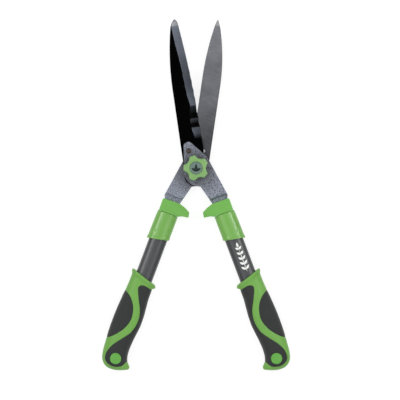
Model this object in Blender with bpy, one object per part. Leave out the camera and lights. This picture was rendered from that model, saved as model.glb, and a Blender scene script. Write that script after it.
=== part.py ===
"""Hedge shears with a star-shaped tension knob, lying flat and a little open.

The origin is on the pivot's axis, at the height of the surface the shears lie on.
+Z runs up the pivot, +Y towards the blade tips and +X to the right.
The two halves hold the same set of parts: the lower half is the upper one turned over about Y.
"""

from math import atan2, ceil, cos, exp, log, pi, radians, sin, sqrt, tan

import bmesh
import bpy
from mathutils import Matrix, Vector

MM = 0.001

# Driving dimensions, in metres and radians
HALF_OPENING = radians(8.3)  # how far each half stands from closed
HANDLE_SPLAY = radians(12.3)  # between a blade's line and its handle's line
MID_HEIGHT = 0.016  # of the plane where the blades meet
GAP = 0.0003  # kept between touching pieces
BLADE_THICKNESS = 0.003
ARM_THICKNESS = 0.0035

# Layers above the plane where the blades meet, with the gaps between them
BLADE_BOTTOM = GAP / 2
BLADE_TOP = BLADE_BOTTOM + BLADE_THICKNESS
ARM_BOTTOM = BLADE_TOP + GAP
ARM_TOP = ARM_BOTTOM + ARM_THICKNESS
WASHER_THICKNESS = 0.0018
WASHER_BOTTOM = ARM_TOP + GAP
WASHER_TOP = WASHER_BOTTOM + WASHER_THICKNESS
SPRING_HEIGHT = 0.0016
SPRING_BOTTOM = WASHER_TOP + GAP
SPRING_TOP = SPRING_BOTTOM + SPRING_HEIGHT
KNOB_BOTTOM = WASHER_TOP + 2 * GAP
KNOB_HEIGHT = 0.0125
KNOB_TOP = KNOB_BOTTOM + KNOB_HEIGHT

# Pivot
BOLT_RADIUS = 0.005
NECK_SIDE = 0.010
HEX_ACROSS_FLATS = 0.017
BUSH_RADIUS = 0.0068
NUT_ACROSS_FLATS = 0.016
NUT_HEIGHT = 0.0075
CAP_RADIUS = 0.0094
CAP_THICKNESS = 0.0016
BOLT_WASHER_RADIUS = 0.0125
THRUST_WASHER_RADIUS = 0.0130
KNOB_LOBES = 5
KNOB_RADIUS = 0.0196
KNOB_SCALLOP_PLACE = 0.0255  # from the axis to a scallop's centre
KNOB_SCALLOP_RADIUS = 0.0102
KNOB_CORNER = 0.0009  # how softly a scallop runs into a lobe
KNOB_FIRST_LOBE = radians(35.3)

# Blades
BLADE_LENGTH = 0.2315
SPINE_X = -0.0185
BEVEL_WIDTH = 0.0115
BEVEL_START_Y = 0.040
BEVEL_FULL_Y = 0.050
WAVE_PITCH = 0.015
EDGE_THICKNESS = 0.0006
RIVET_PLACE = Vector((-0.0074, 0.0277))
RIVET_RADIUS = 0.0026
RIVET_HEAD_RADIUS = 0.0042

# Handles, in the handle's own frame: +X is the outer side and -Y runs down the handle
TUBE_X = 0.016
TUBE_HALF_WIDTH = 0.0139
TUBE_HALF_DEPTH = 0.0105
TUBE_WALL = 0.0015
BUFFER_TOP_Y = -0.060
SLEEVE_TOP_Y = -0.0803
TUBE_TOP_Y = -0.0807
TUBE_END_Y = -0.300
SOCKET_MOUTH_Y = -0.170  # just outside the grip
TANG_END_Y = -0.108
TANG_RIVET_Y = -0.096
BEND_START_Y = -0.0510
BEND_END_Y = -0.0556
PAD_THICKNESS = 0.0022
PLUG_PLACE = Vector((0.0128, -0.3167))
PLUG_RADIUS = 0.0086
CUT_REACH = 0.03  # of a cutter that goes right through a handle

GRIP_SECTIONS = [
    # y at the middle, inner x, outer x, half depth, slope across; in millimetres
    (-184.8, -4.2, 36.2, 14.6, 0.32),
    (-186.6, -6.0, 37.4, 15.6, 0.32),
    (-189.6, -5.4, 36.6, 15.2, 0.32),
    (-192.4, -2.8, 35.2, 14.0, 0.30),
    (-200.0, -2.1, 35.3, 14.2, 0.22),
    (-212.0, -2.2, 36.0, 14.8, 0.10),
    (-228.0, -3.5, 37.2, 15.6, 0.0),
    (-245.0, -5.0, 38.2, 16.0, 0.0),
    (-256.0, -5.2, 38.5, 16.0, 0.0),
    (-268.0, -4.2, 38.5, 16.0, 0.0),
    (-282.0, -2.6, 38.0, 15.8, 0.0),
    (-296.0, -1.8, 37.2, 15.6, 0.0),
    (-306.0, -2.4, 36.4, 15.6, 0.0),
    (-314.0, -4.8, 35.5, 15.6, 0.0),
    (-319.0, -8.4, 34.4, 15.5, 0.0),
    (-323.5, -11.8, 33.0, 15.0, 0.0),
    (-327.0, -10.6, 31.0, 14.0, 0.0),
    (-330.5, -4.4, 28.0, 12.0, 0.0),
    (-333.5, 3.5, 24.0, 8.6, 0.0),
    (-335.4, 10.5, 19.0, 4.0, 0.0),
]
OUTER_PAD_EDGE = [
    (44, -210), (36, -213.5), (25, -220), (16, -231.5), (11.7, -246), (12.3, -258),
    (18, -271.5), (27, -283), (37.5, -292), (44, -296),
]
INNER_PAD_EDGE = [
    (-12, -201), (-2.5, -199.5), (10, -196.8), (17, -199), (18.3, -204.5), (12, -218.5), (3.5, -235),
    (0.5, -251), (4, -269.5), (14, -284), (24, -297.5), (29.5, -311), (27.5, -324.5), (15, -330),
    (1.5, -326), (-5, -316.5), (-12, -308),
]

GREEN = (0.20, 0.46, 0.10, 1)
SOFT_GREEN = (0.17, 0.45, 0.07, 1)
CHARCOAL = (0.05, 0.052, 0.052, 1)
HAMMERED_GREY = (0.20, 0.21, 0.24, 1)
GROUND_STEEL = (0.17, 0.17, 0.18, 1)
BLACK_COATING = (0.004, 0.004, 0.004, 1)
ZINC = (0.55, 0.55, 0.57, 1)
TUBE_GREY = (0.095, 0.097, 0.10, 1)
BRONZE = (0.50, 0.33, 0.15, 1)
CAP_GREY = (0.17, 0.21, 0.20, 1)


def clear_scene():
    for obj in list(bpy.data.objects):
        bpy.data.objects.remove(obj, do_unlink=True)


def material(name, colour, roughness, metallic):
    """A plain material, made once and shared by every piece with that finish."""
    made = bpy.data.materials.get(name)
    if made is None:
        made = bpy.data.materials.new(name)
        made.use_nodes = True
        shader = made.node_tree.nodes["Principled BSDF"]
        shader.inputs["Base Color"].default_value = colour
        shader.inputs["Roughness"].default_value = roughness
        shader.inputs["Metallic"].default_value = metallic
    return made


def steel(name):
    return material(name, ZINC, 0.35, 1.0)


# Frames: empties on the pivot's axis that the pieces hang from


def frame(name, parent=None, location=(0, 0, 0), rotation=(0, 0, 0)):
    made = bpy.data.objects.new(name, None)
    made.parent = parent
    made.location = location
    made.rotation_euler = rotation
    bpy.context.scene.collection.objects.link(made)
    return made


# Outlines


def in_metres(points):
    return [Vector(p) * MM for p in points]


def arc(centre, radius, start, end, steps):
    """Points from angle start to angle end, both included."""
    turns = [start + (end - start) * i / steps for i in range(steps + 1)]
    return [Vector((centre[0] + radius * cos(a), centre[1] + radius * sin(a))) for a in turns]


def circle(centre, radius, steps=24):
    return arc(centre, radius, 0, 2 * pi * (1 - 1 / steps), steps - 1)


def hexagon(across_flats):
    return circle((0, 0), across_flats / 2 / cos(pi / 6), 6)


def square(side):
    half = side / 2
    return [Vector((x, y)) for x, y in ((-half, -half), (half, -half), (half, half), (-half, half))]


def rounded(corners, step=radians(22)):
    """The closed outline through corners (x, y, radius), each rounded to its radius."""
    points = []
    for i, (x, y, radius) in enumerate(corners):
        here = Vector((x, y))
        if not radius:
            points.append(here)
            continue
        back = (Vector(corners[i - 1][:2]) - here).normalized()
        ahead = (Vector(corners[(i + 1) % len(corners)][:2]) - here).normalized()
        half = back.angle(ahead) / 2
        centre = here + (back + ahead).normalized() * (radius / sin(half))
        start = here + back * (radius / tan(half)) - centre
        turn = (pi - 2 * half) * (1 if back.cross(ahead) < 0 else -1)
        steps = max(1, ceil(abs(turn) / step))
        base = atan2(start.y, start.x)
        points += arc(centre, radius, base, base + turn, steps)
    return points


def smooth_path(points, pieces=2):
    """A smooth open curve through the points."""
    found = [points[0]]
    for i in range(len(points) - 1):
        before = points[max(0, i - 1)]
        after = points[min(len(points) - 1, i + 2)]
        a, b = points[i], points[i + 1]
        for k in range(1, pieces + 1):
            t = k / pieces
            found.append(
                a * (1 + 2 * t) * (1 - t) ** 2
                + b * t * t * (3 - 2 * t)
                + (b - before) / 2 * t * (1 - t) ** 2
                - (after - a) / 2 * t * t * (1 - t)
            )
    return found


def oval(x0, x1, half_depth, steps, power=2.3):
    """A rounded section between x0 and x1: (x, z) pairs, wide sides flatter than an ellipse."""
    found = []
    for i in range(steps):
        a = 2 * pi * i / steps
        c, s = cos(a), sin(a)
        across = abs(c) ** (2 / power) * (1 if c >= 0 else -1)
        deep = abs(s) ** (2 / power) * (1 if s >= 0 else -1)
        found.append(((x0 + x1) / 2 + across * (x1 - x0) / 2, deep * half_depth))
    return found


# Meshes


def mesh_object(name, parent, finish, points, faces):
    mesh = bpy.data.meshes.new(name)
    mesh.from_pydata(points, [], faces)
    builder = bmesh.new()
    builder.from_mesh(mesh)
    bmesh.ops.recalc_face_normals(builder, faces=builder.faces)
    builder.to_mesh(mesh)
    builder.free()
    made = bpy.data.objects.new(name, mesh)
    made.parent = parent
    bpy.context.scene.collection.objects.link(made)
    if finish is not None:
        mesh.materials.append(finish)
        mesh.shade_smooth()
        mesh.set_sharp_from_angle(angle=radians(35))
    return made


def loft(name, parent, finish, rings, closed=False):
    """Skins rings of equal length. Closed joins the last ring to the first, as for a hollow tube."""
    count = len(rings[0])
    points = [p for ring in rings for p in ring]
    pairs = [(i, i + 1) for i in range(len(rings) - 1)]
    if closed:
        pairs.append((len(rings) - 1, 0))
    faces = []
    for a, b in pairs:
        for k in range(count):
            n = (k + 1) % count
            faces.append((a * count + k, a * count + n, b * count + n, b * count + k))
    if not closed:
        faces.append(tuple(reversed(range(count))))
        faces.append(tuple(range(len(points) - count, len(points))))
    return mesh_object(name, parent, finish, points, faces)


def prism(name, parent, finish, outline, bottom, top):
    rings = [[(p.x, p.y, z) for p in outline] for z in (bottom, top)]
    return loft(name, parent, finish, rings)


def turned(name, parent, finish, profile, steps=24, closed=False):
    """A round piece about Z from its (radius, height) profile."""
    rings = [[(p.x, p.y, z) for p in circle((0, 0), r, steps)] for r, z in profile]
    return loft(name, parent, finish, rings, closed)


def combine(obj, other, operation):
    change = obj.modifiers.new(other.name, "BOOLEAN")
    change.operation = operation
    change.object = other
    other.hide_render = True
    other.display_type = "WIRE"


def cut(obj, other):
    combine(obj, other, "DIFFERENCE")


def drill(obj, place, radius, bottom, top):
    """A round hole along Z; the cutter hangs from the same frame as the piece."""
    hole = prism(f"{obj.name}_hole{len(obj.modifiers)}", obj.parent, None, circle(place, radius), bottom, top)
    cut(obj, hole)


# Blades


def bowed(y, straight_x, bend_start, bend_radius):
    """A side of a blade: straight up to bend_start, then bowed to the radius (negative bows to -X)."""
    return straight_x + max(0, y - bend_start) ** 2 / (2 * bend_radius)


def wavy(y, wave):
    """The ground waves along a cutting edge, stronger towards the heel."""
    wave_end, fade = 0.165, 0.070
    growth = min(1, max(0, (wave_end - y) / fade))
    return wave * growth * sin(2 * pi * y / WAVE_PITCH)


def heel_outline(right):
    """The rounded heel below the bevel."""
    return rounded(
        [
            (SPINE_X, 0.030, 0),
            (SPINE_X, 0.004, 0.03),
            (-0.0194, -0.0172, 0.009),
            (-0.0084, -0.0280, 0.009),
            (0.0140, -0.0230, 0.013),
            (right, 0.0300, 0),
        ]
    )


def width_at(outline, y):
    """Leftmost and rightmost x of a closed outline at height y."""
    found = []
    for a, b in zip(outline, outline[1:] + outline[:1], strict=True):
        if (a.y - y) * (b.y - y) <= 0 and a.y != b.y:
            found.append(a.x + (b.x - a.x) * (y - a.y) / (b.y - a.y))
    return min(found), max(found)


def blade(name, parent, finish, spine, edge):
    """Sections from the heel to the tip: the flat inner face, the spine, the outer face and the bevel."""
    heel_y, tip_y = 0.028, BLADE_LENGTH
    outline = heel_outline(edge(0.030))
    bottom = min(p.y for p in outline)
    tip_round = 0.012
    heel = [bottom + (heel_y - bottom) * (1 - cos(pi / 2 * i / 8)) for i in range(1, 9)]
    step = WAVE_PITCH / 4
    body = [heel_y + step * i for i in range(1, int((tip_y - tip_round - heel_y) / step) + 1)]
    tip = [tip_y - tip_round * (1 - sin(pi / 2 * i / 6)) for i in range(1, 6)]
    rings = []
    for y in [bottom + 0.0002, *heel, *body, *tip, tip_y]:
        if y <= heel_y:
            left, right = width_at(outline, y)
        else:
            left, right = spine(y), edge(y)
        if y > tip_y - tip_round:
            share = (y - tip_y + tip_round) / tip_round
            narrow = max(0.08, (1 - share**2.2) ** 0.5)
            middle = (left + right) / 2 * (1 - share)
            half = (right - left) / 2 * narrow
            left, right = middle - half, middle + half
        bevel = min(1, max(0, (y - BEVEL_START_Y) / (BEVEL_FULL_Y - BEVEL_START_Y)))
        bevel_x = right - max(0.0004, min(BEVEL_WIDTH, (right - left) * 0.6) * bevel)
        edge_z = BLADE_TOP - 0.0002 - (BLADE_THICKNESS - EDGE_THICKNESS) * bevel
        rings.append(
            [
                (left, y, BLADE_BOTTOM),
                (left, y, BLADE_TOP),
                (bevel_x, y, BLADE_TOP),
                (right, y, edge_z),
                (right, y, BLADE_BOTTOM),
            ]
        )
    made = loft(name, parent, finish, rings)
    drill(made, RIVET_PLACE, RIVET_RADIUS + GAP, 0, ARM_BOTTOM)
    return made


# Arms


def handle_to_half(x, y):
    """A place in the handle's frame, seen from its half's frame."""
    return Matrix.Rotation(HANDLE_SPLAY, 2) @ Vector((x, y))


def arm_outline():
    """The head around the pivot, the leg and the tang that goes into the tube."""
    head_arc = arc((0.0037, -0.0058), 0.0230, radians(165.4), radians(258.2), 9)
    tang_half_width = TUBE_HALF_WIDTH - TUBE_WALL - 0.0012
    leg = [
        (0.0312, -0.0557, 0.002),
        (0.0290, -0.0600, 0.002),
        (TUBE_X + tang_half_width, -0.0650, 0),
        (TUBE_X + tang_half_width, TANG_END_Y, 0.004),
        (TUBE_X - tang_half_width, TANG_END_Y, 0.004),
        (TUBE_X - tang_half_width, -0.0650, 0),
        (0.0040, -0.0600, 0.002),
    ]
    corners = [(*handle_to_half(x, y), radius) for x, y, radius in leg]
    return rounded(
        [(-0.0122, 0.0519, 0.0072), (0.0192, 0.0146, 0.012)]
        + corners
        + [(0.0026, -0.0292, 0.003)]
        + [(p.x, p.y, 0) for p in reversed(head_arc)]
    )


def arm(name, parent, finish):
    """A flat plate whose leg bends down to the middle of the tube."""
    made = prism(name, parent, finish, arm_outline(), ARM_BOTTOM, ARM_TOP)
    along = handle_to_half(0, -1)
    direction = Vector((along.x, along.y, 0))
    drop = (ARM_BOTTOM + ARM_TOP) / 2
    builder = bmesh.new()
    builder.from_mesh(made.data)
    for bend in (BEND_START_Y, BEND_END_Y):
        everything = builder.verts[:] + builder.edges[:] + builder.faces[:]
        bmesh.ops.bisect_plane(builder, geom=everything, plane_co=direction * -bend, plane_no=direction)
    for vert in builder.verts:
        share = (vert.co.dot(direction) + BEND_START_Y) / (BEND_START_Y - BEND_END_Y)
        vert.co.z -= drop * min(1, max(0, share))
    builder.to_mesh(made.data)
    builder.free()
    drill(made, RIVET_PLACE, RIVET_RADIUS + GAP, BLADE_BOTTOM, ARM_TOP + 0.001)
    drill(made, handle_to_half(TUBE_X, TANG_RIVET_Y), RIVET_RADIUS + GAP, -0.004, 0.004)
    return made


def blade_rivet(name, parent):
    """A domed head over the arm and a shank that ends flush in the blade's inner face."""
    made = turned(
        name,
        parent,
        steel("rivet_steel"),
        [
            (RIVET_RADIUS, BLADE_BOTTOM + 0.00005),
            (RIVET_RADIUS, ARM_TOP + GAP),
            (RIVET_HEAD_RADIUS, ARM_TOP + GAP),
            (RIVET_HEAD_RADIUS * 0.93, ARM_TOP + 0.0011),
            (RIVET_HEAD_RADIUS * 0.62, ARM_TOP + 0.0017),
            (RIVET_HEAD_RADIUS * 0.25, ARM_TOP + 0.0020),
        ],
        24,
    )
    made.location = (*RIVET_PLACE, 0)
    return made


# Pivot


def pivot_bolt(parent):
    """A hex head that the shears rest on, a square neck in the lower arm and a round shank."""
    head_top = -(WASHER_TOP + GAP)
    chamfer = 0.0008
    head_rings = [
        [p * scale for p in hexagon(HEX_ACROSS_FLATS)]
        for scale in (1 - 2 * chamfer / HEX_ACROSS_FLATS, 1, 1)
    ]
    heights = (-MID_HEIGHT, -MID_HEIGHT + chamfer, head_top)
    rings = [[(p.x, p.y, z) for p in ring] for ring, z in zip(head_rings, heights, strict=True)]
    made = loft("pivot_bolt", parent, steel("zinc_steel"), rings)
    neck = prism("bolt_neck", parent, None, square(NECK_SIDE), head_top - 0.001, -ARM_BOTTOM - GAP)
    shank_top = KNOB_TOP - CAP_THICKNESS - 0.0012
    shank_profile = [(BOLT_RADIUS, head_top - 0.001), (BOLT_RADIUS, shank_top - 0.001)]
    shank_profile.append((BOLT_RADIUS - 0.0009, shank_top))
    shank = turned("bolt_shank", parent, None, shank_profile, 28)
    combine(made, neck, "UNION")
    combine(made, shank, "UNION")
    return made


def ring(name, parent, finish, inner, outer, bottom, top):
    profile = [(outer, bottom), (outer, top), (inner, top), (inner, bottom)]
    return turned(name, parent, finish, profile, closed=True)


def spring_washer(parent):
    """A shallow cone, wide end down."""
    inner, outer, thickness = 0.0056, 0.0095, 0.0009
    rise = SPRING_HEIGHT - thickness
    profile = [
        (outer, SPRING_BOTTOM),
        (outer, SPRING_BOTTOM + thickness),
        (inner, SPRING_BOTTOM + thickness + rise),
        (inner, SPRING_BOTTOM + rise),
    ]
    return turned("spring_washer", parent, steel("spring_steel"), profile, closed=True)


def knob_reach(a):
    """How far the knob's side is from the axis at angle a from a lobe: a disc with scallops cut in."""
    pitch = 2 * pi / KNOB_LOBES
    from_scallop = a % pitch - pitch / 2
    across = KNOB_SCALLOP_PLACE * sin(from_scallop)
    chord = sqrt(max(0, KNOB_SCALLOP_RADIUS**2 - across**2))
    scallop = KNOB_SCALLOP_PLACE * cos(from_scallop) - chord
    return -KNOB_CORNER * log(exp(-KNOB_RADIUS / KNOB_CORNER) + exp(-scallop / KNOB_CORNER))


def knob_outline(shrink=0.0):
    steps = KNOB_LOBES * 12
    turns = [2 * pi * i / steps for i in range(steps)]
    spots = [(knob_reach(a) - shrink, a + KNOB_FIRST_LOBE) for a in turns]
    return [Vector((radius * cos(a), radius * sin(a))) for radius, a in spots]


def tension_knob(parent):
    shape = [(0.0016, KNOB_BOTTOM), (0, KNOB_BOTTOM + 0.0016), (0, KNOB_TOP - 0.0030)]
    shape += [(0.0008, KNOB_TOP - 0.0012), (0.0026, KNOB_TOP)]
    rings = [[(p.x, p.y, z) for p in knob_outline(shrink)] for shrink, z in shape]
    made = loft("tension_knob", parent, material("knob_green", GREEN, 0.35, 0), rings)
    nut_top = SPRING_TOP + GAP + NUT_HEIGHT
    foot_radius = 0.0100
    foot_profile = [(foot_radius, KNOB_BOTTOM - 0.001), (foot_radius, SPRING_TOP + GAP)]
    recess = turned("knob_foot_recess", parent, None, foot_profile)
    pocket = prism(
        "knob_nut_pocket",
        parent,
        None,
        hexagon(NUT_ACROSS_FLATS + 2 * GAP),
        SPRING_TOP,
        nut_top + 2 * GAP,
    )
    bore_radius = BOLT_RADIUS + 2 * GAP
    bore = turned("knob_bore", parent, None, [(bore_radius, SPRING_TOP), (bore_radius, KNOB_TOP)])
    seat = turned(
        "knob_cap_seat",
        parent,
        None,
        [(CAP_RADIUS + GAP, KNOB_TOP - CAP_THICKNESS - GAP / 2), (CAP_RADIUS + GAP, KNOB_TOP + 0.001)],
    )
    for cutter in (recess, pocket, bore, seat):
        cut(made, cutter)
    return made


def knob_nut(parent):
    bottom = SPRING_TOP + 2 * GAP
    top = bottom + NUT_HEIGHT - GAP
    made = prism("knob_nut", parent, steel("zinc_steel"), hexagon(NUT_ACROSS_FLATS), bottom, top)
    drill(made, (0, 0), BOLT_RADIUS + GAP, bottom - 0.001, top + 0.001)
    return made


def knob_cap(parent):
    low = KNOB_TOP - CAP_THICKNESS + GAP / 2
    profile = [(CAP_RADIUS, low), (CAP_RADIUS, KNOB_TOP - 0.0003), (CAP_RADIUS - 0.0005, KNOB_TOP + 0.0001)]
    return turned("knob_cap", parent, material("cap_grey", CAP_GREY, 0.4, 0.3), profile)


# Handles


def buffer_block(name, parent):
    """The collar at the top of the tube. Its nose meets the other one when the shears close."""
    half_depth = 0.0122
    corners = [
        (0.0045, BUFFER_TOP_Y, 0.002),
        (0.0312, BUFFER_TOP_Y - 0.0006, 0.0025),
        (0.0309, -0.0800, 0),
        (0.0003, -0.0800, 0.002),
        (-0.0060, -0.0770, 0.010),
        (-0.0158, -0.0757, 0.0012),
        (-0.0151, -0.0722, 0),
        (-0.0143, -0.0676, 0.003),
        (-0.0055, -0.0630, 0.02),
    ]
    made = prism(
        name, parent, material("buffer_green", SOFT_GREEN, 0.55, 0), rounded(corners), -half_depth, half_depth
    )
    round_edges = made.modifiers.new("round_edges", "BEVEL")
    round_edges.width = 0.0035
    round_edges.segments = 2
    round_edges.limit_method = "ANGLE"
    round_edges.angle_limit = radians(50)
    slot_half_depth = ARM_THICKNESS / 2 + GAP
    left, right, top, bottom = 0.0034, 0.0297, -0.055, -0.085
    slot = [Vector((x, y)) for x, y in ((left, top), (right, top), (right, bottom), (left, bottom))]
    cutter = prism(f"{name}_slot", parent, None, slot, -slot_half_depth, slot_half_depth)
    cut(made, cutter)
    return made


def tube_ring(y, grow, slant=0.0, steps=24, shift=(0.0, 0.0)):
    """A section of the oval handle tube, grown all round and tilted by slant."""
    x0 = TUBE_X - TUBE_HALF_WIDTH - grow - shift[0]
    x1 = TUBE_X + TUBE_HALF_WIDTH + grow + shift[1]
    section = oval(x0, x1, TUBE_HALF_DEPTH + grow, steps)
    return [(x, y + slant * (x - TUBE_X), z) for x, z in section]


def handle_tube(name, parent):
    outer = [tube_ring(y, 0) for y in (TUBE_TOP_Y, TUBE_END_Y)]
    inner = [tube_ring(y, -TUBE_WALL) for y in (TUBE_END_Y, TUBE_TOP_Y)]
    made = loft(name, parent, material("tube_paint", TUBE_GREY, 0.4, 0.6), outer + inner, closed=True)
    drill(made, (TUBE_X, TANG_RIVET_Y), RIVET_RADIUS + GAP, -CUT_REACH, CUT_REACH)
    return made


def tang_rivet(name, parent):
    """Runs through both walls of the tube and the tang between them, and ends flush."""
    reach = TUBE_HALF_DEPTH - 0.0002
    made = turned(name, parent, steel("rivet_steel"), [(RIVET_RADIUS, -reach), (RIVET_RADIUS, reach)], 20)
    made.location = (TUBE_X, TANG_RIVET_Y, 0)
    return made


def sleeve(name, parent):
    """The glossy collar: it swells a little, and its lower end is cut on a slant."""
    wall, slant, bottom_y = 0.0018, -0.20, -0.1228
    inside = GAP
    outer = [
        tube_ring(SLEEVE_TOP_Y, inside + wall - 0.0006),
        tube_ring(SLEEVE_TOP_Y - 0.0015, inside + wall, 0, shift=(0.0001, 0.0004)),
        tube_ring(-0.0950, inside + wall, 0, shift=(0.0003, 0.0009)),
        tube_ring(-0.1100, inside + wall, slant * 0.6, shift=(0.0002, 0.0012)),
        tube_ring(bottom_y + 0.0010, inside + wall, slant, shift=(0, 0.0014)),
        tube_ring(bottom_y, inside + wall - 0.0008, slant, shift=(0, 0.0014)),
    ]
    inner = [tube_ring(bottom_y, inside, slant), tube_ring(SLEEVE_TOP_Y, inside)]
    return loft(name, parent, material("sleeve_green", GREEN, 0.2, 0), outer + inner, closed=True)


def grip_rings(inset, steps, first=0, last=None):
    """The grip's sections, drawn in by inset all round."""
    rings = []
    for y, x0, x1, depth, lean in GRIP_SECTIONS[first:last]:
        section = oval(x0 * MM + inset, x1 * MM - inset, depth * MM - inset, steps, 2.4)
        rings.append([(x, y * MM + lean * (x - TUBE_X), z) for x, z in section])
    return rings


def grip_solid(name, parent, finish, inset, steps=18):
    return loft(name, parent, finish, grip_rings(inset, steps))


def grown(outline, grow):
    """The closed outline moved out by grow, whichever way round it runs."""
    following = outline[1:] + outline[:1]
    turns_left = sum(a.cross(b) for a, b in zip(outline, following, strict=True)) > 0
    side = grow if turns_left else -grow
    found = []
    for i, point in enumerate(outline):
        along = (following[i] - outline[i - 1]).normalized()
        found.append(point + Vector((along.y, -along.x)) * side)
    return found


def pad_prism(name, parent, edge, grow):
    """A block with the pad's outline, moved out by grow."""
    outline = grown(smooth_path(in_metres(edge)), grow)
    return prism(name, parent, None, outline, -CUT_REACH, CUT_REACH)


def plug_hole(name, parent, radius):
    return prism(name, parent, None, circle(PLUG_PLACE, radius), -CUT_REACH, CUT_REACH)


def grip_pad(name, parent, edge, has_plug):
    """The outer skin of the grip inside the pad's outline."""
    made = grip_solid(name, parent, material("pad_charcoal", CHARCOAL, 0.75, 0), 0)
    combine(made, pad_prism(f"{name}_outline", parent, edge, 0), "INTERSECT")
    cut(made, grip_solid(f"{name}_inside", parent, None, PAD_THICKNESS))
    if has_plug:
        cut(made, plug_hole(f"{name}_hole", parent, PLUG_RADIUS + GAP))
    return made


def grip_core(name, parent):
    """The hard grip with a recess for each pad, a socket for the tube and a hole for the plug."""
    made = grip_solid(name, parent, material("grip_green", GREEN, 0.4, 0), 0)
    for side, edge in (("inner", INNER_PAD_EDGE), ("outer", OUTER_PAD_EDGE)):
        recess = pad_prism(f"{name}_{side}_recess", parent, edge, GAP)
        cut(recess, grip_solid(f"{name}_{side}_floor", parent, None, PAD_THICKNESS + GAP))
        cut(made, recess)
    socket = loft(
        f"{name}_socket", parent, None, [tube_ring(y, GAP) for y in (TUBE_END_Y - GAP, SOCKET_MOUTH_Y)]
    )
    cut(made, socket)
    cut(made, plug_hole(f"{name}_hole", parent, PLUG_RADIUS + GAP))
    return made


def end_plug(name, parent):
    reach, rim = 0.0157, 0.0006
    profile = [
        (PLUG_RADIUS - rim, -reach),
        (PLUG_RADIUS, -reach + rim),
        (PLUG_RADIUS, reach - rim),
        (PLUG_RADIUS - rim, reach),
    ]
    made = turned(name, parent, material("plug_green", SOFT_GREEN, 0.4, 0), profile)
    made.location = (*PLUG_PLACE, 0)
    return made


def handle(side, half):
    """All the pieces of one handle, on an empty turned to the handle's line."""
    grip_frame = frame(f"{side}_handle_frame", half, rotation=(0, 0, HANDLE_SPLAY))
    handle_tube(f"{side}_tube", grip_frame)
    tang_rivet(f"{side}_tang_rivet", grip_frame)
    buffer_block(f"{side}_buffer", grip_frame)
    sleeve(f"{side}_sleeve", grip_frame)
    grip_core(f"{side}_grip_core", grip_frame)
    grip_pad(f"{side}_grip_inner_pad", grip_frame, INNER_PAD_EDGE, True)
    grip_pad(f"{side}_grip_outer_pad", grip_frame, OUTER_PAD_EDGE, False)
    end_plug(f"{side}_end_plug", grip_frame)


def main():
    clear_scene()
    pivot = frame("pivot_frame", location=(0, 0, MID_HEIGHT))
    upper = frame("upper_half_frame", pivot, rotation=(0, 0, HALF_OPENING))
    lower = frame("lower_half_frame", pivot, rotation=(0, pi, -HALF_OPENING))
    bolt_frame = frame("bolt_frame", pivot, rotation=(0, 0, -HALF_OPENING))

    coated = material("blade_coating", BLACK_COATING, 0.3, 0)
    ground = material("blade_steel", GROUND_STEEL, 0.4, 1)
    upper_blade = blade(
        "upper_blade",
        upper,
        coated,
        lambda y: bowed(y, SPINE_X, 0.125, 0.430),
        lambda y: bowed(y, 0.0155, 0.030, -1.678) + wavy(y, 0.0005),
    )
    lower_blade = blade(
        "lower_blade",
        lower,
        ground,
        lambda y: bowed(y, SPINE_X, 0.130, 0.310),
        lambda y: bowed(y, 0.0106, 0.140, -0.440),
    )

    hammered = material("arm_paint", HAMMERED_GREY, 0.5, 0.4)
    upper_arm = arm("upper_arm", upper, hammered)
    lower_arm = arm("lower_arm", lower, hammered)
    for piece in (upper_blade, upper_arm):
        drill(piece, (0, 0), BUSH_RADIUS + GAP, -0.001, ARM_TOP + 0.001)
    drill(lower_blade, (0, 0), BOLT_RADIUS + GAP, -0.001, ARM_TOP)
    neck_hole = prism("neck_hole", lower, None, square(NECK_SIDE + 2 * GAP), BLADE_BOTTOM, ARM_TOP + 0.001)
    cut(lower_arm, neck_hole)

    blade_rivet("upper_blade_rivet", upper)
    blade_rivet("lower_blade_rivet", lower)
    pivot_bolt(bolt_frame)
    zinc = steel("zinc_steel")
    bronze = material("bush_bronze", BRONZE, 0.4, 1)
    neck_corner = NECK_SIDE / sqrt(2)
    ring("bolt_washer", lower, zinc, neck_corner + 2 * GAP, BOLT_WASHER_RADIUS, WASHER_BOTTOM, WASHER_TOP)
    ring("pivot_bush", upper, bronze, BOLT_RADIUS + GAP, BUSH_RADIUS, BLADE_BOTTOM, ARM_TOP)
    ring("thrust_washer", upper, zinc, BOLT_RADIUS + GAP, THRUST_WASHER_RADIUS, WASHER_BOTTOM, WASHER_TOP)
    spring_washer(pivot)
    tension_knob(pivot)
    knob_nut(pivot)
    knob_cap(pivot)

    handle("right", upper)
    handle("left", lower)


main()
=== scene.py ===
# %% [markdown]
# # Hedge shears, modelled piece by piece
#
# Shears are two levers on one bolt. Each lever is a blade riveted to a pressed steel arm, and the arm's
# tang runs into a handle: a buffer, a glossy sleeve, an oval tube and a two-colour grip. The lower lever
# is the upper one turned over, so most pieces below are made once and used twice.
#
# The frame holds the moving bodies. Every piece made here rides on one of them.

from math import acos, atan2, ceil, copysign, cos, exp, hypot, log, pi, radians, sin, sqrt, tan

import bmesh
import bpy
from mathutils import Matrix, Vector
from mathutils.geometry import delaunay_2d_cdt


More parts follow.
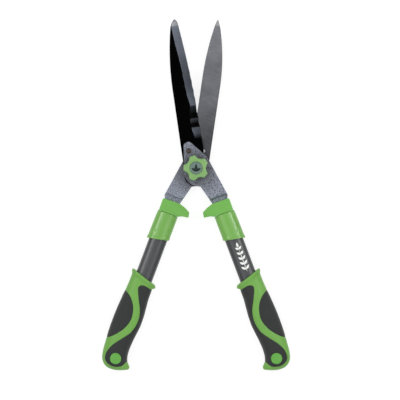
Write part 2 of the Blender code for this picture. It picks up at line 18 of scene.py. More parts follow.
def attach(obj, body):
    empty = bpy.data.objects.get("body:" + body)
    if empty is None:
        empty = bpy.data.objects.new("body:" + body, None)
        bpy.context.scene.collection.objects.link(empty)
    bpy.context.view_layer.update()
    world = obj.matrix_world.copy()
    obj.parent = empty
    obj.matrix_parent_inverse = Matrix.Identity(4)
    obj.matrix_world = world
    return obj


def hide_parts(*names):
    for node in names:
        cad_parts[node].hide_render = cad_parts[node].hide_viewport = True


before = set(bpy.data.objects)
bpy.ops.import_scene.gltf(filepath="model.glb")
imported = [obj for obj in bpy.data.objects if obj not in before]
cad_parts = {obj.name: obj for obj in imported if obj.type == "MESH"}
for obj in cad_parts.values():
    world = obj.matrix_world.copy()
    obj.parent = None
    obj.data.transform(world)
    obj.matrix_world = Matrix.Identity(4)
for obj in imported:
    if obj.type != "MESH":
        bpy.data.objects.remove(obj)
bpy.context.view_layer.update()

# %% [markdown]
# ## Where things are
#
# A hand tool is easiest to model in the frames its maker uses. One frame stands on the pivot with +Y
# along the blade, and one more, turned by the splay, runs down the handle. A piece is made in its own
# frame and then placed by that frame's matrix, so the left handle needs no numbers of its own.

# %% Frames of the two levers and the two handles
PIVOT_HEIGHT = 0.016
LEAN = radians(8.3)
SPLAY = radians(12.3)

PIVOT = Matrix.Translation((0, 0, PIVOT_HEIGHT))
UPPER = PIVOT @ Matrix.Rotation(LEAN, 4, "Z")
LOWER = PIVOT @ Matrix.Rotation(-LEAN, 4, "Z") @ Matrix.Rotation(pi, 4, "Y")
HANDLES = {
    "right": ("upper_half", UPPER @ Matrix.Rotation(SPLAY, 4, "Z")),
    "left": ("lower_half", LOWER @ Matrix.Rotation(SPLAY, 4, "Z")),
}
print("the right handle runs towards", (HANDLES["right"][1].to_3x3() @ Vector((0, -1, 0))).to_tuple(3))

# %% [markdown]
# The layers at the pivot are a stack of thin plates with a hair's gap between them: blade, arm, washer,
# spring washer, knob. Writing the stack as a sum keeps the plates from ever meeting by accident.

# %% The stack of layers above the plane where the blades meet
GAP = 0.0003
BLADE_LOW = GAP / 2
BLADE_HIGH = BLADE_LOW + 0.003
ARM_LOW = BLADE_HIGH + GAP
ARM_HIGH = ARM_LOW + 0.0035
WASHER_LOW = ARM_HIGH + GAP
WASHER_HIGH = WASHER_LOW + 0.0018
KNOB_LOW = WASHER_HIGH + 2 * GAP
KNOB_HIGH = KNOB_LOW + 0.0125
print("the knob's top is", round((PIVOT_HEIGHT + KNOB_HIGH) * 1000, 2), "mm up")

# %% [markdown]
# ## Drawing outlines
#
# Pressed and moulded parts are drawn with straight lines and arcs. A corner with a radius is enough to
# say most of them, and a smooth path through a few points says the rest. Tube and grip are ovals with
# full shoulders, which is what a superellipse gives.

# %% Arcs, rounded corners and smooth paths
MM = 0.001


def arc(centre, radius, start, end, steps):
    """Points from angle start to angle end, both included."""
    turns = [start + (end - start) * i / steps for i in range(steps + 1)]
    return [Vector((centre[0] + radius * cos(a), centre[1] + radius * sin(a))) for a in turns]


def circle(radius, steps=64, centre=(0, 0)):
    return arc(centre, radius, 0, 2 * pi * (1 - 1 / steps), steps - 1)


def superellipse(turn, fullness):
    """How far across and how deep a unit oval is at angle turn; above 2 its shoulders are fuller."""
    return tuple(copysign(abs(v) ** (2 / fullness), v) for v in (cos(turn), sin(turn)))


def rounded(corners, step=radians(7)):
    """The closed outline through corners (x, y, radius), each rounded to its radius."""
    points = []
    for i, (x, y, radius) in enumerate(corners):
        here = Vector((x, y))
        if not radius:
            points.append(here)
            continue
        back = (Vector(corners[i - 1][:2]) - here).normalized()
        ahead = (Vector(corners[(i + 1) % len(corners)][:2]) - here).normalized()
        half = back.angle(ahead) / 2
        centre = here + (back + ahead).normalized() * (radius / sin(half))
        start = here + back * (radius / tan(half)) - centre
        turn = (pi - 2 * half) * (1 if back.cross(ahead) < 0 else -1)
        base = atan2(start.y, start.x)
        points += arc(centre, radius, base, base + turn, max(1, ceil(abs(turn) / step)))
    return points


def between(a, b, slope_a, slope_b, t):
    """The smooth way from a to b at share t, which leaves and arrives with the given slopes."""
    return (
        a * (1 + 2 * t) * (1 - t) ** 2
        + b * t * t * (3 - 2 * t)
        + slope_a * t * (1 - t) ** 2
        - slope_b * t * t * (1 - t)
    )


def smooth_path(points, pieces):
    """A smooth open curve through the points."""
    found = [points[0]]
    for i in range(len(points) - 1):
        a, b = points[i], points[i + 1]
        leaving = (b - points[max(0, i - 1)]) / 2
        arriving = (points[min(len(points) - 1, i + 2)] - a) / 2
        found += [between(a, b, leaving, arriving, k / pieces) for k in range(1, pieces + 1)]
    return found


print("a rounded square has", len(rounded([(0, 0, 1), (9, 0, 1), (9, 9, 1), (0, 9, 1)])), "points")

# %% [markdown]
# A shape that changes along its length is a table of stations. Between two stations the value runs on a
# curve that never overshoots, because a bump that isn't in the table would show as a dent in the piece.

# %% Values between stations


def steady_slope(knots, i):
    """The slope at a knot: flat where the values turn, otherwise between those on either side."""
    if i in (0, len(knots) - 1):
        return 0
    (x0, y0), (x1, y1), (x2, y2) = knots[i - 1], knots[i], knots[i + 1]
    before = (y1 - y0) / (x1 - x0)
    after = (y2 - y1) / (x2 - x1)
    return 0 if before * after <= 0 else 2 * before * after / (before + after)


def value_at(knots, x):
    """The value at x through knots (x, value) in rising order."""
    last = len(knots) - 1
    i = next((k for k in range(last) if x <= knots[k + 1][0]), last - 1)
    (x0, y0), (x1, y1) = knots[i], knots[i + 1]
    width = x1 - x0
    leaving, arriving = (width * steady_slope(knots, k) for k in (i, i + 1))
    return between(y0, y1, leaving, arriving, min(1, max(0, (x - x0) / width)))


def eased(low, high, x):
    """0 below low, 1 above high, and a smooth step between."""
    return between(0, 1, 0, 0, min(1, max(0, (x - low) / (high - low))))


print("halfway up a step:", eased(0, 1, 0.5))

# %% [markdown]
# ## From outlines to meshes
#
# A loft joins rings that have the same number of points, and it covers plates, turned pieces and tubes
# alike. Holes are cut with a Boolean, and the result is kept as a plain mesh before it is shaded, so
# that the edges of the holes are sharp too.

# %% Lofts, turned pieces and finished objects


def mesh_from(points, faces, name="piece"):
    mesh = bpy.data.meshes.new(name)
    mesh.from_pydata(points, [], faces)
    builder = bmesh.new()
    builder.from_mesh(mesh)
    bmesh.ops.remove_doubles(builder, verts=builder.verts, dist=1e-7)
    bmesh.ops.recalc_face_normals(builder, faces=builder.faces)
    builder.to_mesh(mesh)
    builder.free()
    return mesh


def loft(rings, closed=False):
    """A mesh through the rings: closed joins the last to the first, otherwise both ends are capped."""
    count = len(rings[0])
    points = [p for ring in rings for p in ring]
    pairs = [(i, i + 1) for i in range(len(rings) - 1)]
    if closed:
        pairs.append((len(rings) - 1, 0))
    faces = []
    for a, b in pairs:
        for k in range(count):
            n = (k + 1) % count
            faces.append((a * count + k, a * count + n, b * count + n, b * count + k))
    if not closed:
        faces.append(tuple(reversed(range(count))))
        faces.append(tuple(range(len(points) - count, len(points))))
    return mesh_from(points, faces)


def prism(outline, low, high):
    return loft([[(p.x, p.y, z) for p in outline] for z in (low, high)])


def turned(profile, steps):
    """A round mesh about Z from its (radius, height) profile."""
    return loft([[(p.x, p.y, z) for p in circle(r, steps)] for r, z in profile])


def put(name, data):
    """A new object in the scene."""
    made = bpy.data.objects.new(name, data)
    bpy.context.scene.collection.objects.link(made)
    return made


def with_changes(mesh, holes, rounding=0.0, segments=3, rounded_above=50):
    """The mesh with its edges rounded and then its holes cut, as a new plain mesh."""
    body = put("blank", mesh)
    tools = [put("drill", hole) for hole in holes]
    if rounding:
        edge = body.modifiers.new("rounding", "BEVEL")
        edge.width = rounding
        edge.segments = segments
        edge.limit_method = "ANGLE"
        edge.angle_limit = radians(rounded_above)
    for tool in tools:
        cut = body.modifiers.new("hole", "BOOLEAN")
        cut.operation = "DIFFERENCE"
        cut.object = tool
    seen = body.evaluated_get(bpy.context.evaluated_depsgraph_get())
    result = bpy.data.meshes.new_from_object(seen)
    for obj in (body, *tools):
        bpy.data.objects.remove(obj, do_unlink=True)
    return result


def piece(name, mesh, matrix, body, finishes, stands_for=(), sharp_above=30):
    """Puts a mesh in the scene as one finished piece that rides on a body."""
    mesh.name = name
    mesh.shade_smooth()
    mesh.set_sharp_from_angle(angle=radians(sharp_above))
    for finish in finishes:
        mesh.materials.append(finish)
    made = put(name, mesh)
    made.matrix_world = matrix
    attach(made, body)
    if stands_for:
        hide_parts(*stands_for)
    print(f"{name}: {len(mesh.polygons)} faces")
    return made


print("mesh helpers ready")

# %% [markdown]
# ## Writing shaders as sums
#
# A node tree is a formula drawn as boxes. This small class lets the formula be typed instead: a Signal
# is the output of some node, and a sum with it adds the Math node that works it out. Vectors and colours
# go through Vector Math, since a Math node would turn them grey.

# %% Signals and finishes


class Signal:
    """The output of a node, which can be used in sums."""

    def __init__(self, finish, socket):
        self.finish = finish
        self.socket = socket

    def sum(self, operation, first, second):
        wide = any(isinstance(v, Signal) and v.socket.type != "VALUE" for v in (first, second))
        kind = "VectorMath" if wide else "Math"
        return self.finish.add(kind, {"operation": operation}, {0: first, 1: second})

    def __add__(self, other):
        return self.sum("ADD", self, other)

    def __radd__(self, other):
        return self.sum("ADD", other, self)

    def __sub__(self, other):
        return self.sum("SUBTRACT", self, other)

    def __rsub__(self, other):
        return self.sum("SUBTRACT", other, self)

    def __mul__(self, other):
        return self.sum("MULTIPLY", self, other)

    def __rmul__(self, other):
        return self.sum("MULTIPLY", other, self)

    def __truediv__(self, other):
        return self.sum("DIVIDE", self, other)

    def __pow__(self, other):
        return self.sum("POWER", self, other)


class Finish:
    """A material, with one method that adds any node to it."""

    def __init__(self, name, roughness=0.5, metallic=0.0, **fixed):
        self.material = bpy.data.materials.new(name)
        self.material.use_nodes = True
        self.tree = self.material.node_tree
        self.shader = self.tree.nodes["Principled BSDF"]
        self.set("Roughness", roughness)
        self.set("Metallic", metallic)
        for socket, value in fixed.items():
            self.set(socket.replace("_", " "), value)
        self.places = self.add("TexCoord", output="Object")

    def plug(self, socket, value):
        if isinstance(value, Signal):
            self.tree.links.new(value.socket, socket)
        elif socket.type == "VECTOR" and isinstance(value, (int, float)):
            socket.default_value = (value, value, value)
        else:
            socket.default_value = value

    def add(self, kind, settings=None, sockets=None, output=0):
        """Adds a node: its settings first, then the values or links of its sockets."""
        node = self.tree.nodes.new("ShaderNode" + kind)
        for setting, value in (settings or {}).items():
            if setting == "stops":
                self.set_stops(node.color_ramp, value)
            else:
                setattr(node, setting, value)
        for socket, value in (sockets or {}).items():
            self.plug(node.inputs[socket], value)
        return Signal(self, node.outputs[output])

    @staticmethod
    def set_stops(ramp, stops):
        while len(ramp.elements) < len(stops):
            ramp.elements.new(1)
        for element, (position, colour) in zip(ramp.elements, stops, strict=True):
            element.position = position
            element.color = colour

    def set(self, socket, value):
        self.plug(self.shader.inputs[socket], value)

    def axis(self, letter):
        """One coordinate of the piece's own frame, in millimetres."""
        parts = self.add("SeparateXYZ", sockets={0: self.places}, output=letter)
        return parts / MM

    def noise(self, size, detail=3, roughness=0.5, places=None):
        """Soft noise from 0 to 1 with grains about size across, in the unit of the places."""
        sockets = {"Vector": places or self.places, "Scale": 1 / size, "Detail": detail}
        return self.add("TexNoise", {}, sockets | {"Roughness": roughness})

    def cells(self, size):
        """The distance to the nearest of many scattered points, about size metres apart."""
        return self.add("TexVoronoi", {}, {"Vector": self.places, "Scale": 1 / size}, "Distance")

    def ramp(self, value, low, high):
        """0 below low and 1 above high, straight between."""
        sockets = {"Value": value, "From Min": low, "From Max": high}
        return self.add("MapRange", {"clamp": True}, sockets)

    def tones(self, value, steps):
        """A grey that depends on value: steps are (value, brightness) in rising order."""
        first, last = steps[0][0], steps[-1][0]
        stops = [((at - first) / (last - first), (tone, tone, tone, 1)) for at, tone in steps]
        return self.add("ValToRGB", {"stops": stops}, {"Fac": self.ramp(value, first, last)})

    def mix(self, share, first, second):
        """A colour between two, by share."""
        sockets = {0: share, 6: first, 7: second}
        return self.add("Mix", {"data_type": "RGBA", "clamp_factor": True}, sockets, 2)

    def done(self, base, roughness, height, depth, strength=0.5):
        """Sets what varies over the surface, with height as a bump depth metres deep."""
        self.set("Base Color", base)
        self.set("Roughness", roughness)
        sockets = {"Height": height, "Distance": depth, "Strength": strength}
        self.set("Normal", self.add("Bump", {}, sockets))
        return self.material


def colour(red, green, blue):
    """A display colour out of 255, as the linear colour that a shader needs."""
    return (*((c / 255) ** 2.2 for c in (red, green, blue)), 1)


print("leaf green is", tuple(round(c, 3) for c in colour(122, 178, 84)))

# %% [markdown]
# ## Green plastics
#
# The buffers, sleeves, knob, grips and plugs are moulded in one leaf green, but they don't look alike:
# the sleeves are polished, the knob and grips are satin and the buffers are matt. So one function makes
# them all, and roughness tells them apart. A moulded surface is never even: it has slow drifts in
# tone and a fine spark-eroded grain left by the mould.

# %% Five green finishes


def green_plastic(name, base, gloss, grain, shine=0.45):
    finish = Finish(name, roughness=gloss, Specular_IOR_Level=shine)
    drift = finish.noise(0.030, detail=4)
    fine = finish.noise(0.0006, detail=2)
    darker = tuple(c * 0.86 for c in base[:3]) + (1,)
    lighter = tuple(min(1, c * 1.09) for c in base[:3]) + (1,)
    scuffs = finish.ramp(finish.noise(0.012, detail=6, roughness=0.7), 0.55, 0.80)
    roughness = gloss + 0.10 * (drift - 0.5) + 0.10 * scuffs
    return finish.done(finish.mix(drift, darker, lighter), roughness, fine, grain)


SLEEVE_GREEN = green_plastic("sleeve_green", colour(123, 177, 91), 0.16, 0.000005, shine=0.38)
BUFFER_GREEN = green_plastic("buffer_green", colour(112, 178, 80), 0.55, 0.00006)
KNOB_GREEN = green_plastic("knob_green", colour(130, 174, 106), 0.38, 0.00003)
GRIP_GREEN = green_plastic("grip_green", colour(118, 174, 84), 0.42, 0.00003, shine=0.22)
PLUG_GREEN = green_plastic("plug_green", colour(100, 172, 70), 0.36, 0.00002)
print("five greens made")

# %% [markdown]
# ## Soft pads
#
# The dark pads are a rubbery plastic moulded over the green. It looks dry because its surface is
# covered in tiny pits, so the finish is mostly bump: cells less than a millimetre across, with a
# slow unevenness where hands have polished it.

# %% The pads' charcoal rubber


def pad_rubber():
    finish = Finish("pad_charcoal", Specular_IOR_Level=0.35, Sheen_Weight=0.15, Sheen_Roughness=0.5)
    drift = finish.noise(0.024, detail=4)
    rubber = finish.mix(drift, colour(42, 44, 44), colour(54, 56, 55))
    return finish.done(rubber, 0.58 + 0.22 * drift, finish.cells(0.0007), 0.00012, 0.6)


PAD_CHARCOAL = pad_rubber()
print("pad rubber made")

# %% [markdown]
# ## Painted steel
#
# The tubes are powder coated: a dark grey with a fine orange-peel skin. The arms have a hammered finish,
# a paint that draws itself into small bright domes as it dries. Cells from a Voronoi texture give the
# domes, and a finer noise breaks them up. Round the pivot the paint is darkened unevenly: painted shade
# round the knob.

# %% Tube coating and hammered paint


def tube_coating():
    finish = Finish("tube_coating", Specular_IOR_Level=0.6)
    drift = finish.noise(0.040, detail=3)
    peel = finish.noise(0.0009, detail=2)
    coat = finish.mix(drift, colour(62, 63, 65), colour(74, 75, 77))
    return finish.done(coat, 0.30 + 0.08 * drift, peel, 0.00004)


def hammered_paint():
    finish = Finish("arm_paint", metallic=0.20, Specular_IOR_Level=0.4)
    domes = 0.7 - finish.cells(0.0014)
    speck = finish.noise(0.0009, detail=4, roughness=0.70)
    drift = finish.noise(0.018, detail=3)
    tone = finish.ramp(domes * 0.60 + speck * 0.85 + drift * 0.10, 0.40, 0.78)
    paint = finish.mix(tone, colour(82, 85, 94), colour(166, 172, 188))
    # Painted shade: the paint is darkened, unevenly, within about 46 mm of the pivot, round the knob.
    from_pivot = finish.add("VectorMath", {"operation": "LENGTH"}, {0: finish.places}, 1) / MM
    knob_shade = (1 - finish.ramp(from_pivot, 18, 46)) * (0.35 + 0.45 * drift)
    with_knob_shade = finish.mix(knob_shade, paint, colour(58, 54, 56))
    return finish.done(with_knob_shade, 0.44 + 0.20 * speck, domes + speck * 0.6, 0.00030, 0.55)


TUBE_COATING = tube_coating()
ARM_PAINT = hammered_paint()
print("tube and arm finishes made")

# %% [markdown]
# ## Blade steel
#
# The inner faces are surface ground, which leaves fine lines across the blade, a little curved because
# the wheel is round. The outer face of each blade has a black non-stick coating. The bevel is ground
# through that coating, and the last centimetre of each blade is bare. A ground face mirrors more of the
# room towards its tip, so each finish also carries a short list of tones along the blade: painted
# reflection.

# %% Ground steel, black coating and the bright tip
TIP_START = 221.5  # millimetres from the pivot
TIP_BLEND = 0.3
TIP_GREY = colour(136, 137, 140)
TIP_BRIGHT = colour(170, 170, 173)
COAT_BLACK = colour(4, 4, 5)


def ground_steel(name, dark, light, tones):
    """Steel with curved grinding lines across it; tones are its painted reflection, as brightness along the
    blade.
    """
    finish = Finish(name, metallic=0.6, Specular_IOR_Level=0.05)
    along, across = finish.axis("Y"), finish.axis("X")
    bowed_lines = along + 0.012 * across * across
    line_place = finish.add("CombineXYZ", sockets={0: across * 0.030, 1: bowed_lines * 2.2, 2: 0})
    lines = finish.noise(1, detail=5, roughness=0.7, places=line_place)
    drift = finish.noise(0.028, detail=3)
    metal = finish.mix(finish.ramp(lines * 0.7 + drift * 0.3, 0.32, 0.68), dark, light)
    return finish, along, lines, metal * finish.tones(along, tones)


def tip_share(finish, along):
    """0 on the blade and 1 on its bare tip."""
    return finish.ramp(along, TIP_START - TIP_BLEND, TIP_START + TIP_BLEND)


def with_tip(finish, along, lines, metal, tip=TIP_GREY):
    """The finish with its last centimetre bare."""
    base = finish.mix(tip_share(finish, along), metal, tip)
    return finish.done(base, 0.36 + 0.18 * lines, lines, 0.00006)


def hollow_light_and_shade(finish, along, metal):
    """The hollows near the heel, painted: coating black for painted shade, steel for painted reflection."""
    upper = finish.ramp(along, 95.0, 97.6) + 0.15 * finish.ramp(along, 84.0, 95.0)
    dim = finish.ramp(along, 68.5, 75.5) * (1 - finish.ramp(along, 76.1, 76.9)) * 0.38
    lower = finish.ramp(along, 43.5, 54.0) ** 1.6 * (1 - finish.ramp(along, 62.2, 63.0)) * 0.95
    return finish.mix(upper + dim + lower, COAT_BLACK, metal)


def black_coating():
    finish = Finish("blade_coating", Specular_IOR_Level=0.02)
    drift = finish.noise(0.020, detail=4)
    skin = finish.noise(0.0008, detail=2)
    bright = tip_share(finish, finish.axis("Y"))
    black = finish.mix(drift, COAT_BLACK, colour(8, 8, 9))
    finish.set("Metallic", 0.6 * bright)
    base = finish.mix(bright, black, TIP_GREY)
    return finish.done(base, 0.32 + 0.12 * drift, skin, 0.00003, 0.4)


# Painted reflection along the blade: brightness against millimetres from the pivot.
FACE_REFLECTION_TONES = [(35, 0.36), (50, 0.40), (68, 0.50), (100, 0.72), (140, 0.86), (200, 1.0)]
BEVEL_REFLECTION_TONES = [(62, 0.50), (100, 0.64), (112, 0.58), (120, 0.50), (130, 0.39), (140, 0.41), (155, 0.51)]
BEVEL_REFLECTION_TONES += [(170, 0.62), (190, 0.87), (216, 1.0)]
BEVEL_COLOURS = colour(82, 86, 95), colour(112, 117, 128)
FACE_COLOURS = colour(92, 94, 98), colour(152, 154, 160)
FACE_STEEL = with_tip(*ground_steel("face_steel", *FACE_COLOURS, FACE_REFLECTION_TONES), TIP_BRIGHT)
PLAIN_BEVEL = with_tip(*ground_steel("plain_bevel", *BEVEL_COLOURS, BEVEL_REFLECTION_TONES))
bevel, along, lines, metal = ground_steel("bevel_steel", *BEVEL_COLOURS, BEVEL_REFLECTION_TONES)
# The hollows' bands of steel and black are painted reflection and painted shade.
BEVEL_STEEL = with_tip(bevel, along, lines, hollow_light_and_shade(bevel, along, metal))
BLADE_COATING = black_coating()
print("blade finishes made")

# %% [markdown]
# ## Small metals
#
# Bolt, nut and washers are zinc plated: pale, slightly blue and cloudy. The rivet over the upper arm has
# gone dark, the spring washer is blued and the bush is bronze. The lower rivet's end is painted near white
# as a painted highlight. One function serves, with other colours.

# %% Plated and plain metals


def small_metal(name, dark, light, gloss, cloud=0.004, metallic=1.0):
    finish = Finish(name, metallic=metallic)
    clouds = finish.noise(cloud, detail=5, roughness=0.6)
    fine = finish.noise(0.0005, detail=3)
    roughness = gloss + 0.20 * (clouds - 0.5) + 0.08 * fine
    return finish.done(finish.mix(clouds, dark, light), roughness, fine, 0.00003, 0.4)


ZINC = small_metal("zinc_plate", colour(176, 178, 182), colour(206, 208, 214), 0.32)
DARK_RIVET = small_metal("dark_rivet", colour(44, 40, 42), colour(96, 84, 78), 0.42, 0.002, 0.5)
# The lower rivet's end is painted near white: a painted highlight on its polished end.
RIVET_PAINTED_HIGHLIGHT = small_metal("rivet_highlight", colour(232, 232, 234), colour(250, 250, 252), 0.25, metallic=0.2)
SPRING_BLUE = small_metal("blued_spring", colour(70, 74, 88), colour(98, 104, 118), 0.30)
BRONZE = small_metal("bush_bronze", colour(170, 128, 76), colour(196, 152, 96), 0.34)
print("small metals made")

# %% [markdown]
# ## The blades
#
# A blade is a flat bar whose outer face is ground down to the cutting edge. The loft runs from heel to
# tip in thin slices: each slice gives the flat inner face, the rounded back, the outer face and a hollow
# bevel. The upper blade's bevel is ground in three hollows near the heel, which stop a branch from
# sliding out, so its depth and its edge both dip there. Above them the grinder left faint waves.

# %% One slice of a blade
BLADE_LENGTH = 0.2315
SPINE_X = -0.0185
BEVEL_SLICES = 8
HOLLOWS = [  # start, end, how far the edge dips, all in metres
    (0.044, 0.0625, 0.0004),
    (0.0625, 0.0765, 0.0010),
    (0.0765, 0.0965, 0.0008),
]
RIPPLE_PITCH = 0.0145
RIPPLE_DEPTH = 0.00005
EDGE_RIPPLE = 0.0003
EDGE_DROP = 0.0025
BACK_ROUND = 0.0004
BEVEL_LIMIT = 0.86  # the most of the blade's width that the bevel takes
HOLLOW_GRIND = 0.00020
HOLLOW_DEPTH = 0.00042
BEVEL_WIDTHS = [  # place along the blade, width of the bevel
    (0.038, 0.0004),
    (0.046, 0.0100),
    (0.054, 0.0117),
    (0.061, 0.0128),
    (0.078, 0.0126),
    (0.0965, 0.0094),
    (0.110, 0.0110),
    (0.130, 0.0115),
    (0.150, 0.0112),
    (0.170, 0.0114),
    (0.190, 0.0119),
    (0.208, 0.0117),
    (0.216, 0.0114),
    (BLADE_LENGTH, 0.0126),
]


def bowed(y, straight_x, bend_start, bend_radius):
    """A side of a blade: straight up to bend_start, then bowed (negative bows towards -X)."""
    return straight_x + max(0, y - bend_start) ** 2 / (2 * bend_radius)


def hollow_at(y):
    """How deep the nearest hollow is here, as a share of its depth, and how far the edge dips."""
    for start, end, dip in HOLLOWS:
        if start < y < end:
            share = sin(pi * (y - start) / (end - start)) ** 0.75
            return share, share * dip
    return 0, 0


def ripple(y):
    """The grinder's faint waves above the hollows: they fade towards the tip."""
    return sin(2 * pi * y / RIPPLE_PITCH) * eased(0.0965, 0.105, y) * (1 - eased(0.120, 0.185, y))


def slice_of_blade(y, left, right, wavy):
    """The section's points: inner face, back, outer face and bevel down to the edge."""
    width = right - left
    share = hollow_at(y)[0] if wavy else 0
    bevel = min(value_at(BEVEL_WIDTHS, y), width * BEVEL_LIMIT)
    ramped = eased(0.037, 0.048, y)
    back = min(BACK_ROUND, width / 6)
    bevel_x = right - max(bevel, 0.0004)
    edge_z = BLADE_HIGH - 0.0002 - EDGE_DROP * ramped
    ring = [(right, y, BLADE_LOW + 0.00005), (right - 0.0001, y, BLADE_LOW)]
    ring += [(left + back, y, BLADE_LOW), (left, y, BLADE_LOW + back)]
    ring += [(left, y, BLADE_HIGH - back), (left + back, y, BLADE_HIGH), (bevel_x, y, BLADE_HIGH)]
    for i in range(1, BEVEL_SLICES + 1):
        t = i / BEVEL_SLICES
        grind = (HOLLOW_GRIND + (RIPPLE_DEPTH * ripple(y) if wavy else 0)) * ramped * sin(pi * t)
        dip = HOLLOW_DEPTH * share * sin(pi * min(1, t * 1.15)) ** 0.7
        z = BLADE_HIGH + (edge_z - BLADE_HIGH) * t - grind - dip
        ring.append((bevel_x + (right - bevel_x) * t, y, max(z, BLADE_LOW + 0.0002)))
    return ring


print("points in a slice:", len(slice_of_blade(0.1, SPINE_X, 0.012, True)))

# %% [markdown]
# The heel is round below the bevel, and the tip is a small rounded nose. Both need slices that are
# packed closely where the outline turns quickly, so their places follow a cosine.

# %% The whole blade


def heel_outline(right):
    return rounded(
        [
            (SPINE_X, 0.030, 0),
            (SPINE_X, 0.004, 0.03),
            (-0.0194, -0.0172, 0.009),
            (-0.0084, -0.0280, 0.009),
            (0.0140, -0.0230, 0.013),
            (right, 0.0300, 0),
        ],
        radians(4),
    )


def width_at(outline, y):
    """Leftmost and rightmost x of a closed outline at height y."""
    found = []
    for a, b in zip(outline, outline[1:] + outline[:1], strict=True):
        if (a.y - y) * (b.y - y) <= 0 and a.y != b.y:
            found.append(a.x + (b.x - a.x) * (y - a.y) / (b.y - a.y))
    return min(found), max(found)


def blade_mesh(spine, edge, wavy, tip_x):
    """Slices from heel to tip; spine and edge give the blade's two sides at a height y."""
    heel_y, tip_round, step, heel_cuts, tip_cuts = 0.028, 0.012, 0.0009, 40, 24
    outline = heel_outline(edge(0.030))
    bottom = min(p.y for p in outline) + 0.00002
    places = [bottom + (heel_y - bottom) * (1 - cos(pi / 2 * i / heel_cuts)) for i in range(heel_cuts)]
    body_end = BLADE_LENGTH - tip_round
    count = int((body_end - heel_y) / step)
    places += [heel_y + (body_end - heel_y) * i / count for i in range(count)]
    places += [body_end + tip_round * sin(pi / 2 * i / tip_cuts) for i in range(tip_cuts)]
    rings = []
    for y in [*places, BLADE_LENGTH - 0.00001]:
        left, right = width_at(outline, y) if y <= heel_y else (spine(y), edge(y))
        if y > body_end:
            share = (y - body_end) / tip_round
            half = (right - left) / 2 * max(0.02, (1 - share**2.2) ** 0.5)
            middle = (left + right) / 2 * (1 - share) + tip_x * share
            left, right = middle - half, middle + half
        rings.append(slice_of_blade(y, left, right, wavy))
    return loft(rings)


def finish_faces(mesh):
    """Slot 0 for the coated back and outer face, 1 for the inner face and 2 for the bevel."""
    for face in mesh.polygons:
        sloping = face.normal.z > 0.5 and hypot(face.normal.x, face.normal.y) > 0.03
        if face.normal.z < -0.9:
            face.material_index = 1
        elif sloping and face.center.y > BEVEL_WIDTHS[0][0]:
            face.material_index = 2
        else:
            face.material_index = 0


print("heights in the heel's outline:", len(heel_outline(0.0155)))

# %% [markdown]
# The drills are wide enough to leave a hair of clearance round what goes through them. The upper blade
# turns on a bush, so its hole is the wider one. The lower blade sits on the bolt itself.

# %% Drill the blades and put them in place
RIVET_X, RIVET_Y = -0.0074, 0.0277
RIVET_RADIUS = 0.0026
BUSH_HOLE = 0.0071
BOLT_HOLE = 0.0053


def drill(outline):
    """A tool that goes through blade and arm."""
    return prism(outline, -0.001, 0.010)


rivet_drill = drill(circle(RIVET_RADIUS + 0.0001, 48, (RIVET_X, RIVET_Y)))
bush_drill = drill(circle(BUSH_HOLE))
bolt_drill = drill(circle(BOLT_HOLE))


def upper_edge(y):
    return bowed(y, 0.0155, 0.030, -1.678) - hollow_at(y)[1] + EDGE_RIPPLE * ripple(y)


def lower_edge(y):
    return bowed(y, 0.0106, 0.140, -0.440)


def put_blade(side, mesh, matrix, pivot_drill, bevel_finish):
    """Drills a blade, sorts its faces and puts it on its half of the shears."""
    blade = with_changes(mesh, [rivet_drill, pivot_drill])
    finish_faces(blade)
    finishes = [BLADE_COATING, FACE_STEEL, bevel_finish]
    piece(f"{side}_blade_ground", blade, matrix, f"{side}_half", finishes, [f"{side}_blade"], 7)


upper_blank = blade_mesh(lambda y: bowed(y, SPINE_X, 0.125, 0.430), upper_edge, True, 0.0)
lower_blank = blade_mesh(lambda y: bowed(y, SPINE_X, 0.130, 0.310), lower_edge, False, -0.0003)
put_blade("upper", upper_blank, UPPER, bush_drill, BEVEL_STEEL)
put_blade("lower", lower_blank, LOWER, bolt_drill, PLAIN_BEVEL)

# %% [markdown]
# ## The arms
#
# Each arm is stamped from plate: a teardrop head round the pivot, a leg, and a tang that goes into the
# tube. The leg is cranked down to the tube's middle. So the outline is drawn flat, its edges are
# rounded, and a smooth step then lowers everything past the bend, just as the press does it.

# %% The arm's outline and its crank
TUBE_X = 0.016
BEND_START = 0.0510
BEND_END = 0.0556
BEND_CUTS = 14
TANG_HALF = 0.0112
TANG_START = -0.0650
TANG_END = -0.1080


def to_lever(x, y):
    """A place in the handle's frame, seen from its lever's frame."""
    return Matrix.Rotation(SPLAY, 2) @ Vector((x, y))


def arm_outline():
    head = arc((0.0037, -0.0058), 0.0230, radians(165.4), radians(258.2), 24)
    leg = [
        (0.0312, -0.0557, 0.002),
        (0.0290, -0.0600, 0.002),
        (TUBE_X + TANG_HALF, TANG_START, 0),
        (TUBE_X + TANG_HALF, TANG_END, 0.004),
        (TUBE_X - TANG_HALF, TANG_END, 0.004),
        (TUBE_X - TANG_HALF, TANG_START, 0),
        (0.0040, -0.0600, 0.002),
    ]
    corners = [(*to_lever(x, y), radius) for x, y, radius in leg]
    start = [(-0.0122, 0.0519, 0.0072), (0.0192, 0.0146, 0.012)]
    neck = [(0.0026, -0.0292, 0.003)]
    return rounded(start + corners + neck + [(p.x, p.y, 0) for p in reversed(head)])


